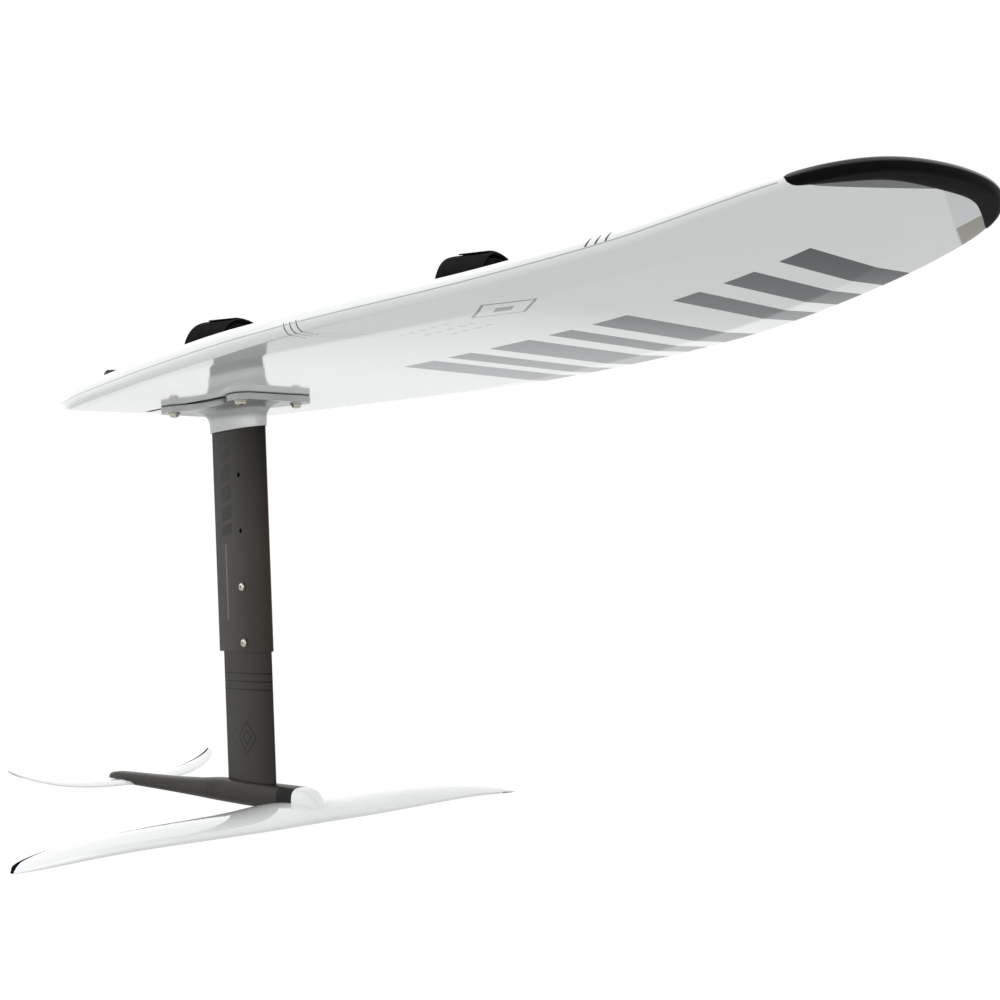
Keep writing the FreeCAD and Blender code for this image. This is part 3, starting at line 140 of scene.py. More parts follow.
def crown(x):
    """Rise of the deck from its edge to the centre line."""
    return 4.0 * max(0.0, min(1.0, (x - TAIL_X) / 250.0, (NOSE_X - x) / 350.0))


def rail_z(x):
    """Height of the rail's lower edge."""
    return rocker(x) + bevel(x)


def closed_spline(points):
    """Closed cubic spline; returns a function of t in 0..1 and the points' own t."""
    points = np.array(points, float)
    n = len(points)
    closed = np.vstack([points, points[:1]])
    spans = np.linalg.norm(np.diff(closed, axis=0), axis=1) ** 0.8
    t = np.concatenate([[0], np.cumsum(spans)])
    system = np.zeros((n, n))
    target = np.zeros((n, 2))
    for i in range(n):
        before, after = spans[i - 1], spans[i]
        system[i, (i - 1) % n] += before
        system[i, i] += 2 * (before + after)
        system[i, (i + 1) % n] += after
        target[i] = 6 * ((points[(i + 1) % n] - points[i]) / after
                         - (points[i] - points[i - 1]) / before)
    bend = np.linalg.solve(system, target)

    def at(u):
        u = (u % 1.0) * t[-1]
        i = min(n - 1, max(0, int(np.searchsorted(t, u) - 1)))
        j = (i + 1) % n
        w = (u - t[i]) / spans[i]
        return ((1 - w) * points[i] + w * points[j]
                + spans[i] ** 2 / 6 * (((1 - w) ** 3 - (1 - w)) * bend[i]
                                       + (w ** 3 - w) * bend[j]))
    return at, t / t[-1]


def run_length(points):
    """Distance along a polyline at each of its points."""
    steps = np.linalg.norm(np.diff(points, axis=0), axis=1)
    return np.concatenate([[0], np.cumsum(steps)])


outline_at, knots = closed_spline(OUTLINE + [(x, -y) for x, y in OUTLINE[-2:0:-1]])
nose_t = knots[len(OUTLINE) - 1]
fine_outline = np.array([outline_at(nose_t * k / 4000.0) for k in range(4001)])
fine_run = run_length(fine_outline)


def outline_y(x):
    return float(np.interp(x, fine_outline[:, 0], fine_outline[:, 1]))


def half_outline(n):
    """n+1 points along the port half of the outline, tail to nose, denser at both ends."""
    u = np.linspace(0, 1, n + 1)
    along = (u - 0.055 * np.sin(2 * np.pi * u)) * fine_run[-1]
    return np.stack([np.interp(along, fine_run, fine_outline[:, c]) for c in (0, 1)], 1)


def inward_normals(outline):
    """Unit normals of a port half outline, towards the board."""
    normals = np.zeros_like(outline)
    step = np.gradient(outline, axis=0)
    length = np.linalg.norm(step, axis=1)
    normals[:, 0], normals[:, 1] = step[:, 1] / length, -step[:, 0] / length
    normals[0], normals[-1] = (1, 0), (-1, 0)
    return normals


def middle_x(x):
    """Where the section from outline station x meets the centre line."""
    start, reach = NOSE_FAN
    if x > start:
        return start + reach * (1 - math.exp(-(x - start) / reach))
    start, reach = TAIL_FAN
    if x < start:
        return start - reach * (1 - math.exp(-(start - x) / reach))
    return x


def deck_z(x, y):
    """Height of the deck surface."""
    half_width = max(20.0, outline_y(x) - RAIL_INSET)
    edge = rail_z(x) + thickness(x)
    middle = edge + crown(x)
    return middle - (middle - edge) * (y / half_width) ** 2


def circle_arc(start, via, end, n):
    """n+1 points of the circle through three points, from start to end."""
    (x0, y0), (x1, y1), (x2, y2) = start, via, end
    double = 2 * (x0 * (y1 - y2) + x1 * (y2 - y0) + x2 * (y0 - y1))
    sq0, sq1, sq2 = x0 * x0 + y0 * y0, x1 * x1 + y1 * y1, x2 * x2 + y2 * y2
    mid_x = (sq0 * (y1 - y2) + sq1 * (y2 - y0) + sq2 * (y0 - y1)) / double
    mid_y = (sq0 * (x2 - x1) + sq1 * (x0 - x2) + sq2 * (x1 - x0)) / double
    radius = math.hypot(x0 - mid_x, y0 - mid_y)
    first, passing, last = (math.atan2(p[1] - mid_y, p[0] - mid_x) for p in (start, via, end))
    while passing < first:
        passing += 2 * math.pi
    while last < passing:
        last += 2 * math.pi
    if last - first > 2 * math.pi - 1e-6:
        last -= 2 * math.pi
    angles = [first + (last - first) * k / n for k in range(n + 1)]
    return [(mid_x + radius * math.cos(a), mid_y + radius * math.sin(a)) for a in angles]


def rail_points(corner, inward, n):
    """Points round the rail, from its lower to its upper edge."""
    x = corner[0]
    height = thickness(x)
    points = []
    for out, z in circle_arc((0.0, 0.0), (bulge(x), RAIL_APEX * height),
                             (-RAIL_INSET, height), n):
        q = corner - inward * out
        points.append((q[0], q[1], rail_z(x) + z))
    return points


def lerp(a, b, t):
    return a * (1 - t) + b * t


def half_section(corner, inward):
    """Half section from the middle of the bottom, round the rail, to the middle of the deck."""
    x = corner[0]
    height, low_z = thickness(x), rail_z(x)
    middle = np.array([middle_x(x), 0.0])
    # bisect for the place where the flat panel ends along this section
    outside, inside = 0.0, 1.0
    for _ in range(40):
        t = (outside + inside) / 2
        q = lerp(corner, middle, t)
        if abs(q[1]) > panel_width(q[0]) or q[0] > PANEL_END:
            outside = t
        else:
            inside = t
    panel_edge = lerp(corner, middle, min(0.985, max(0.02, inside)))
    panel_z = rocker(panel_edge[0])
    points = []
    for f in PANEL_STEPS:
        q = lerp(middle, panel_edge, f)
        points.append((q[0], q[1], rocker(q[0])))
    for f in BEVEL_STEPS:
        q = lerp(panel_edge, corner, f)
        points.append((q[0], q[1], lerp(panel_z, low_z, f)))
    points += rail_points(corner, inward, RAIL_STEPS)
    deck_edge = corner + inward * RAIL_INSET
    middle_z = rail_z(middle[0]) + thickness(middle[0]) + crown(middle[0])
    for f in DECK_STEPS:
        q = lerp(deck_edge, middle, f)
        rise = (middle_z - low_z - height) * (1 - (1 - f) ** 2)
        points.append((q[0], q[1], (low_z + height) + rise))
    return points


# ------------------------------------------------------------------ mesh helpers
def mesh_obj(name, verts, faces, smooth=True):
    """Object from vertices in metres about the tables' origin."""
    mesh = bpy.data.meshes.new(name)
    mesh.from_pydata([(v[0] - OX, v[1], v[2]) for v in verts], [], faces)
    mesh.validate()
    ob = bpy.data.objects.new(name, mesh)
    scene.collection.objects.link(ob)
    bm = bmesh.new()
    bm.from_mesh(mesh)
    bmesh.ops.remove_doubles(bm, verts=bm.verts, dist=2e-6)
    bmesh.ops.dissolve_degenerate(bm, dist=1e-7, edges=bm.edges)
    bmesh.ops.recalc_face_normals(bm, faces=bm.faces)
    bm.to_mesh(mesh)
    bm.free()
    if smooth:
        mesh.polygons.foreach_set("use_smooth", [True] * len(mesh.polygons))
    return ob


def grid_faces(rows, cols, offset=0, flip=False):
    faces = []
    for i in range(rows - 1):
        for j in range(cols - 1):
            a = offset + i * cols + j
            b, c, d = a + 1, a + cols + 1, a + cols
            faces.append((a, d, c, b) if flip else (a, b, c, d))
    return faces


def shell_faces(rows, cols, wound=False):
    """Two grids, top then bottom, joined round their rims; wound keeps the rims' winding even."""
    count = rows * cols
    faces = grid_faces(rows, cols) + grid_faces(rows, cols, count, True)
    rims = [(i * cols + j, (i + 1) * cols + j, j > 0)
            for i in range(rows - 1) for j in (0, cols - 1)]
    rims += [(i * cols + j, i * cols + j + 1, i == 0)
             for j in range(cols - 1) for i in (0, rows - 1)]
    for p, q, turn in rims:
        if wound and turn:
            p, q = q, p
        faces.append((p, q, q + count, p + count))
    return faces


def apply_all(ob):
    """Replace the mesh by its evaluated form and drop the modifiers."""
    bpy.context.view_layer.update()
    depsgraph = bpy.context.evaluated_depsgraph_get()
    mesh = bpy.data.meshes.new_from_object(ob.evaluated_get(depsgraph))
    ob.modifiers.clear()
    ob.data = mesh


def boolean_cut(ob, cutter):
    cut = ob.modifiers.new("cut", "BOOLEAN")
    cut.operation = "DIFFERENCE"
    cut.solver = "EXACT"
    cut.object = cutter
    apply_all(ob)
    bpy.data.objects.remove(cutter)


def sharpen(ob, degrees, where=None):
    """Mark edges above an angle as sharp, where both ends pass the test, and smooth the rest."""
    limit = math.radians(degrees)
    bm = bmesh.new()
    bm.from_mesh(ob.data)
    for e in bm.edges:
        if len(e.link_faces) == 2 and e.calc_face_angle(0) > limit:
            if where is None or all(where(v.co) for v in e.verts):
                e.smooth = False
    for f in bm.faces:
        f.smooth = True
    bm.to_mesh(ob.data)
    bm.free()


def add_box(bm, xs, ys, zs):
    v = [bm.verts.new((x * MM, y * MM, z * MM)) for x in xs for y in ys for z in zs]
    for f in ((0, 1, 3, 2), (4, 6, 7, 5), (0, 4, 5, 1), (2, 3, 7, 6), (0, 2, 6, 4), (1, 5, 7, 3)):
        bm.faces.new([v[i] for i in f])


def add_cylinder(bm, x, y, z0, z1, radius, n=36):
    """Upright cylinder; all lengths in mm."""
    x, y, radius = x * MM, y * MM, radius * MM
    angles = [2 * math.pi * k / n for k in range(n)]
    low = [bm.verts.new((x + radius * math.cos(a), y + radius * math.sin(a), z0 * MM))
           for a in angles]
    high = [bm.verts.new((v.co.x, v.co.y, z1 * MM)) for v in low]
    bm.faces.new(low[::-1])
    bm.faces.new(high)
    for k in range(n):
        after = (k + 1) % n
        bm.faces.new((low[k], low[after], high[after], high[k]))


def cutter_from(fill):
    """Object holding the solids that fill adds to a mesh."""
    bm = bmesh.new()
    fill(bm)
    bmesh.ops.translate(bm, verts=bm.verts, vec=(-OX, 0, 0))
    bmesh.ops.recalc_face_normals(bm, faces=bm.faces)
    mesh = bpy.data.meshes.new("cutter")
    bm.to_mesh(mesh)
    bm.free()
    ob = bpy.data.objects.new("cutter", mesh)
    scene.collection.objects.link(ob)
    return ob


def register(ob, slot, *replaced):
    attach(ob, "board")
    if replaced:
        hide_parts(*replaced)


# ------------------------------------------------------------------ board skin
def add_pockets(bm):
    for side in (-1, 1):
        add_box(bm, POCKET_X, sorted(side * y for y in POCKET_Y), POCKET_Z)
    for x, y in INSERTS:
        z = deck_z(x, y)
        add_cylinder(bm, x, y, z - INSERT_DEPTH, z + 20, INSERT_RADIUS)


def in_pocket(point):
    """Whether a vertex belongs to a track pocket or an insert hole, with a small margin."""
    x = point.x + OX
    if abs(point.y) < 0.0575 and -0.163 < x < 0.109 and point.z < 0.0185:
        return True
    return any((x - hole_x * MM) ** 2 + (point.y - hole_y * MM) ** 2 < 0.0075 ** 2
               for hole_x, hole_y in INSERTS)


def build_board():
    outline = half_outline(BOARD_STATIONS)
    normals = inward_normals(outline)
    port = np.array([half_section(p, n) for p, n in zip(outline, normals)]) * MM
    rows, cols = port.shape[:2]
    port = port.reshape(-1, 3)
    starboard = port * np.array([1, -1, 1])
    faces = grid_faces(rows, cols) + grid_faces(rows, cols, rows * cols, True)
    ob = mesh_obj("board_skin", np.vstack([port, starboard]), faces)
    boolean_cut(ob, cutter_from(add_pockets))
    sharpen(ob, 55, in_pocket)
    register(ob, "shell_white", "bottom_shell", "deck_shell", "foam_core")
    return ob


# ------------------------------------------------------------------ nose bumper
BUMPER_START_X = 1050       # aft end of the bumper
BUMPER_GROWTH = 70.0        # length over which it grows to full width
BUMPER_COLS = 34
BUMPER_UNDER = 26           # traced length under the board, in 1 mm steps
BUMPER_RAIL = 24            # steps round the rail
BUMPER_CENTRE = 14          # rail step about which the bumper widens
BUMPER_OVER = 12            # traced length on the deck, in 1 mm steps
BUMPER_LOW_EDGE = 18.5      # reach under the board at full width
BUMPER_TOP_EDGE = 7.0       # reach over the deck at full width
BUMPER_SINK = 0.9           # its inner face lies this far inside the board


def bumper_row(corner, inward, growth):
    """Surface points across the bumper at one station, and its thickness at each."""
    x = corner[0]
    middle = np.array([middle_x(x), 0.0])
    reach = np.linalg.norm(middle - corner)
    towards = (middle - corner) / reach
    height, low_z = thickness(x), rail_z(x)
    slope = (rocker(PANEL_END) - low_z) / max(20.0, reach * 0.82)
    path = []
    for d in np.linspace(BUMPER_UNDER, 0, BUMPER_UNDER + 1)[:-1]:
        q = corner + towards * d
        path.append((q[0], q[1], low_z + slope * d))
    path += rail_points(corner, inward, BUMPER_RAIL)
    for d in np.linspace(0, BUMPER_OVER, BUMPER_OVER + 1)[1:]:
        q = corner + inward * RAIL_INSET + towards * d
        path.append((q[0], q[1], low_z + height + 0.02 * d))
    path = np.array(path)
    run = run_length(path)
    rail_start, rail_end = run[BUMPER_UNDER], run[BUMPER_UNDER + BUMPER_RAIL]
    centre = run[BUMPER_UNDER + BUMPER_CENTRE]
    start = centre + (BUMPER_UNDER - BUMPER_LOW_EDGE - centre) * growth
    end = centre + (rail_end + BUMPER_TOP_EDGE - centre) * growth
    across = np.linspace(0, 1, BUMPER_COLS)
    along = start + (end - start) * (0.5 - 0.5 * np.cos(np.pi * across))
    points = np.stack([np.interp(along, run, path[:, c]) for c in range(3)], 1)
    position = np.cos(np.pi * np.linspace(1, 0, BUMPER_COLS))
    lift = 1.75 * np.sqrt(np.clip(1 - np.abs(position) ** 5, 0, 1)) - 0.25
    # raised rib along the rail
    rib = rail_start + 0.62 * (rail_end - rail_start)
    lift += 0.55 * np.exp(-((along - rib) / 2.2) ** 2) * growth
    return points, lift * min(1.0, 0.25 + growth)


def build_bumper():
    outline = half_outline(1500)
    normals = inward_normals(outline)
    front = [i for i in range(len(outline)) if outline[i][0] > BUMPER_START_X]
    stations = front[::4] + ([front[-1]] if (len(front) - 1) % 4 else [])
    base, lift = [], []
    for i, run in zip(stations, run_length(outline[stations])):
        u = min(1.0, run / BUMPER_GROWTH)
        growth = max(0.0, 1 - (1 - u) ** 2) ** 0.75
        points, heights = bumper_row(outline[i], normals[i], growth)
        base.append(points)
        lift.append(heights)
    lift[0] = np.full(BUMPER_COLS, -0.25)       # the end sinks into the board
    base, lift = np.array(base), np.array(lift)
    base = np.concatenate([base, (base * np.array([1, -1, 1]))[-2::-1]])
    lift = np.concatenate([lift, lift[-2::-1]])
    along = np.gradient(base, axis=0)
    across = np.gradient(base, axis=1)
    across[0] = across[1]
    across[-1] = across[-2]
    outward = np.cross(across, along)
    outward /= np.maximum(1e-9, np.linalg.norm(outward, axis=2, keepdims=True))
    if outward[len(base) // 2, BUMPER_COLS // 2][0] < 0:
        outward = -outward
    outer = base + outward * lift[:, :, None]
    inner = base - outward * BUMPER_SINK
    verts = np.vstack([outer.reshape(-1, 3), inner.reshape(-1, 3)]) * MM
    ob = mesh_obj("nose_bumper", verts, shell_faces(*outer.shape[:2], wound=True))
    register(ob, "guard_rubber", "nose_guard")
    return ob


# ------------------------------------------------------------------ traction pads
PAD_STEP = 2.0              # between rows along x
PAD_COLS = 150
PAD_GAP = 0.3               # between deck and pad
PAD_MAX_HALF_WIDTH = 185.0
PAD_THICKNESS = 4.9
PAD_EDGE_RADIUS, PAD_EDGE_DROP = 3.2, 1.6
PAD_CORNER_LENGTH, PAD_CORNER_INSET = 28.0, 22.0
PAD_HOLE_RADIUS = 8.5
GROOVE_PITCH, GROOVE_HALF_WIDTH, GROOVE_DEPTH = 13.0, 1.5, 1.1
GROOVE_BORDER = 7           # plain border round the diamond grooves
KICK_HALF_WIDTH, KICK_FADE = 84, 8.0
KICK = [                    # ridge at the rear pad's tail end: x, added height
    (-205, 22), (-203.5, 27), (-202, 29), (-196, 31.5), (-190, 30.5), (-184, 27.5),
    (-172, 16.5), (-160, 8.5), (-148, 2.5), (-140, 0)]


def quarter_round(u):
    """Falls from 1 to 0 along a quarter circle as u goes from 0 to 1."""
    return 1 - math.sqrt(max(0.0, 1 - (1 - u) ** 2))


def pad_thickness(x, y, edge, kick):
    """Thickness at a point that lies edge away from the pad's rim."""
    height = PAD_THICKNESS
    if edge <= PAD_EDGE_RADIUS:
        height -= PAD_EDGE_DROP * quarter_round(edge / PAD_EDGE_RADIUS)
    if edge > GROOVE_BORDER:
        a = (x + y) / math.sqrt(2) % GROOVE_PITCH
        b = (x - y) / math.sqrt(2) % GROOVE_PITCH
        gap = min(a, GROOVE_PITCH - a, b, GROOVE_PITCH - b)
        if gap < GROOVE_HALF_WIDTH:
            height -= GROOVE_DEPTH * (1 - gap / GROOVE_HALF_WIDTH)
    if kick and x < kick[-1][0]:
        inside = abs(y) < KICK_HALF_WIDTH
        fade = 1.0 if inside else max(0.0, 1 - (abs(y) - KICK_HALF_WIDTH) / KICK_FADE)
        fade = fade * fade * (3 - 2 * fade)
        height += float(np.interp(x, [p[0] for p in kick], [p[1] for p in kick])) * fade
    return height


def build_pad(name, replaced, x0, x1, width_share, kick=None):
    """Pad from x0 to x1 that covers a share of the board's width."""
    rows = int((x1 - x0) / PAD_STEP)
    top, bottom = [], []
    for i in range(rows + 1):
        x = x0 + (x1 - x0) * i / rows
        half_width = min(width_share * outline_y(x), PAD_MAX_HALF_WIDTH)
        u = min(x - x0, x1 - x) / PAD_CORNER_LENGTH
        if u < 1:
            half_width -= PAD_CORNER_INSET * quarter_round(u)
        for j in range(PAD_COLS + 1):
            y = half_width * (2.0 * j / PAD_COLS - 1)
            z = deck_z(x, y) + PAD_GAP
            height = pad_thickness(x, y, min(half_width - abs(y), x - x0, x1 - x), kick)
            top.append((x * MM, y * MM, (z + height) * MM))
            bottom.append((x * MM, y * MM, z * MM))
    ob = mesh_obj(name, top + bottom, shell_faces(rows + 1, PAD_COLS + 1))

    def add_holes(bm):
        for x, y in INSERTS:
            if x0 < x < x1:
                add_cylinder(bm, x, y, 0.0, 90, PAD_HOLE_RADIUS)

    boolean_cut(ob, cutter_from(add_holes))
    sharpen(ob, 50)
    register(ob, "pad_foam", replaced)
    return ob


# ------------------------------------------------------------------ foot straps
# Each strap lies at a slant, from one end of a row of inserts to the other end of the next
SLANT = math.atan2(2 * INSERT_PITCH, 2 * INSERT_Y)
COS_SLANT, SIN_SLANT = math.cos(SLANT), math.sin(SLANT)
STRAP_CLEARANCE = 5.45      # from the deck up to the strap's foot
ARCH_LIFT = 4.0             # from the foot up to the arch's base line
ARCH_POWER = 0.909
FOOT_THICKNESS = 3.8
SECTION_POINTS = 28
COVER_LOW_END = 27          # the cover ends this far above the foot
TAB_ROWS, TAB_COLS = 26, 14


def signed_power(value, power):
    return math.copysign(abs(value) ** power, value)


def arch_point(angle, half_span, height):
    """Point (y, z) of the arch, z above its base line."""
    return (half_span * signed_power(math.cos(angle), ARCH_POWER),
            height * abs(math.sin(angle)) ** ARCH_POWER)


def turned(centre_x, p):
    """Turn a point in metres to the strap's slant about its middle."""
    u, v = p[0] - centre_x * MM, p[1]
    return (centre_x * MM + u * COS_SLANT - v * SIN_SLANT, u * SIN_SLANT + v * COS_SLANT, p[2])


def strap_line(foot, half_span, height, feet, n):
    """Evenly spaced and smoothed (y, z) centre line; feet is the half length over the feet."""
    line = [arch_point(math.pi * i / n, half_span, height) for i in range(n + 1)]
    line = [(y, foot + ARCH_LIFT + z) for y, z in line]
    if feet:
        foot_z = foot + FOOT_THICKNESS / 2
        ends = (feet, feet - 6, half_span + 6)
        line = ([(y, foot_z) for y in ends] + line[3:-3] + [(-y, foot_z) for y in ends[::-1]])
    line = np.array(line)
    run = run_length(line)
    even = np.linspace(0, run[-1], n * 2)
    ys, zs = np.interp(even, run, line[:, 0]), np.interp(even, run, line[:, 1])
    for _ in range(4):
        for values in (ys, zs):
            values[1:-1] = (values[:-2] + 2 * values[1:-1] + values[2:]) / 4
    return ys, zs


def strap_band(name, centre_x, foot, half_width, thick, half_span, height,
               n, squareness, feet=0.0, width_at=None):
    """Closed strap body: a flat rounded section carried along the arch."""
    ys, zs = strap_line(foot, half_span, height, feet, n)
    last = len(ys) - 1
    verts = []
    for i in range(last + 1):
        before, after = max(0, i - 1), min(last, i + 1)
        step_y, step_z = ys[after] - ys[before], zs[after] - zs[before]
        length = math.hypot(step_y, step_z)
        normal_y, normal_z = -step_z / length, step_y / length
        if normal_z < 0 and abs(normal_y) < 0.5:
            normal_y, normal_z = -normal_y, -normal_z
        local_width = half_width * (width_at(i / last) if width_at else 1.0)
        local_thick = thick
        if feet and zs[i] < foot + 9:
            f = min(1.0, max(0.0, (abs(ys[i]) - half_span) / 7.0))
            local_thick = thick + (FOOT_THICKNESS - thick) * f * f * (3 - 2 * f)
        for j in range(SECTION_POINTS):
            angle = 2 * math.pi * j / SECTION_POINTS
            x = local_width * signed_power(math.cos(angle), 2 / squareness)
            r = local_thick / 2 * signed_power(math.sin(angle), 2 / 2.4)
            verts.append(turned(centre_x, ((centre_x + x) * MM, (ys[i] + normal_y * r) * MM,
                                           (zs[i] + normal_z * r) * MM)))
    k = SECTION_POINTS
    faces = [(i * k + j, i * k + (j + 1) % k, (i + 1) * k + (j + 1) % k, (i + 1) * k + j)
             for i in range(last) for j in range(k)]
    faces.append(tuple(range(k))[::-1])
    faces.append(tuple(last * k + j for j in range(k)))
    return mesh_obj(name, verts, faces)


def puff(ob, pin_below, limit):
    """Inflate the padding as cloth, pinned below a height; moves are capped at limit (m)."""
    remesh = ob.modifiers.new("remesh", "REMESH")
    remesh.mode = "VOXEL"
    remesh.voxel_size = 0.0045
    apply_all(ob)
    rest = np.array([v.co for v in ob.data.vertices])
    group = ob.vertex_groups.new(name="pin")
    group.add([i for i, p in enumerate(rest) if p[2] < pin_below], 1.0, "REPLACE")
    cloth = ob.modifiers.new("cloth", "CLOTH")
    settings = cloth.settings
    settings.quality = 5
    settings.mass = 0.2
    settings.tension_stiffness = settings.compression_stiffness = 25
    settings.shear_stiffness = 12
    settings.bending_stiffness = 1.2
    settings.use_pressure = True
    settings.uniform_pressure_force = 4.0
    settings.vertex_group_mass = "pin"
    settings.effector_weights.gravity = 0.0
    cloth.collision_settings.use_collision = False
    cloth.point_cache.frame_start, cloth.point_cache.frame_end = 1, 20
    for frame in range(1, 21):
        scene.frame_set(frame)
    evaluated = ob.evaluated_get(bpy.context.evaluated_depsgraph_get())
    move = np.array([v.co for v in evaluated.to_mesh().vertices]) - rest
    evaluated.to_mesh_clear()
    ob.modifiers.clear()
    scene.frame_set(1)
    length = np.linalg.norm(move, axis=1)
    move *= np.minimum(1.0, limit / np.maximum(length, 1e-9))[:, None]
    ob.data.vertices.foreach_set("co", (rest + move).astype(np.float32).ravel())
    subdivide = ob.modifiers.new("sub", "SUBSURF")
    subdivide.levels = subdivide.render_levels = 1
    apply_all(ob)
    ob.data.polygons.foreach_set("use_smooth", [True] * len(ob.data.polygons))


def build_padding(place, centre_x, foot):
    ob = strap_band(place + "_strap_padding", centre_x, foot, half_width=30.6, thick=7.0,
                    half_span=75.5, height=61.5, n=56, squareness=3.2, feet=131.0)
    puff(ob, pin_below=foot * MM + 0.009, limit=0.0027)
    register(ob, "strap_fabric", place + "_strap_pad")
    return ob


def build_cover(place, centre_x, foot):
    """Outer cover, narrower at its middle, with its low ends cut off and closed."""
    ob = strap_band(place + "_strap_wrap", centre_x, foot, half_width=27.5, thick=2.4,
                    half_span=83.9, height=68.9, n=60, squareness=7.0,
                    width_at=lambda u: 1.0 - 0.10 * math.exp(-((u - 0.5) / 0.12) ** 2))
    bm = bmesh.new()
    bm.from_mesh(ob.data)
    low = [v for v in bm.verts if v.co.z < (foot + COVER_LOW_END) * MM]
    bmesh.ops.delete(bm, geom=low, context="VERTS")
    bmesh.ops.holes_fill(bm, edges=[e for e in bm.edges if len(e.link_faces) == 1])
    bm.to_mesh(ob.data)
    bm.free()
    sharpen(ob, 60)
    register(ob, "cover_fabric", place + "_strap_cover")
    return ob


def build_tab(place, centre_x, foot):
    """Closing tab over the cover, tapered and lifted at its free end."""
    top = []
    for i in range(TAB_ROWS + 1):
        u = i / TAB_ROWS
        lift = 2.0 + 1.0 * u ** 3
        y, z = arch_point(math.pi * (0.40 + 0.24 * u), 84.2 + lift, 69.6 + lift)
        half_width = 21.0 - 4.0 * u - (6.0 * max(0, (u - 0.85) / 0.15) ** 2)
        for j in range(TAB_COLS + 1):
            x = centre_x + 3 + half_width * (2 * j / TAB_COLS - 1)
            top.append((x * MM, y * MM, (foot + ARCH_LIFT + z) * MM))
    verts = top + [(x, y * 0.985, z - 0.0012) for x, y, z in top]
    ob = mesh_obj(place + "_strap_tab", [turned(centre_x, p) for p in verts],
                  shell_faces(TAB_ROWS + 1, TAB_COLS + 1))
    sharpen(ob, 50)
    register(ob, "cover_fabric")
    ob["part"] = "tab"
    return ob


def build_strap(place, centre_x):
    # the foot clears the highest deck point under the strap's ends
    under = [(centre_x + u * COS_SLANT - v * SIN_SLANT, u * SIN_SLANT + v * COS_SLANT)
             for u in (-31, 0, 31) for v in (-132, -100, -74, 74, 100, 132)]
    foot = max(deck_z(x, y) for x, y in under) + STRAP_CLEARANCE
    return [build(place, centre_x, foot) for build in (build_padding, build_cover, build_tab)]


board = build_board()
bumper = build_bumper()
rear_pad = build_pad("rear_deck_pad", "rear_traction_pad", -205, 150, 0.82, KICK)
front_pad = build_pad("front_deck_pad", "front_traction_pad", 385, 690, 0.72)
front_padding, front_cover, front_tab = build_strap("front", STRAP_X["front"])
rear_padding, rear_cover, rear_tab = build_strap("rear", STRAP_X["rear"])


# ------------------------------------------------------------------ material helpers
def empty_tree(owner):
    owner.use_nodes = True
    owner.node_tree.nodes.clear()
    return owner.node_tree


def feed(tree, node, inputs):
    """Link each input to a socket, or set its value."""
    for key, value in inputs.items():
        if isinstance(value, bpy.types.NodeSocket):
            tree.links.new(value, node.inputs[key])
        else:
            node.inputs[key].default_value = value


def add_node(tree, kind, inputs=None, **settings):
    node = tree.nodes.new("ShaderNode" + kind)
    for key, value in settings.items():
        setattr(node, key, value)
    feed(tree, node, inputs or {})
    return node


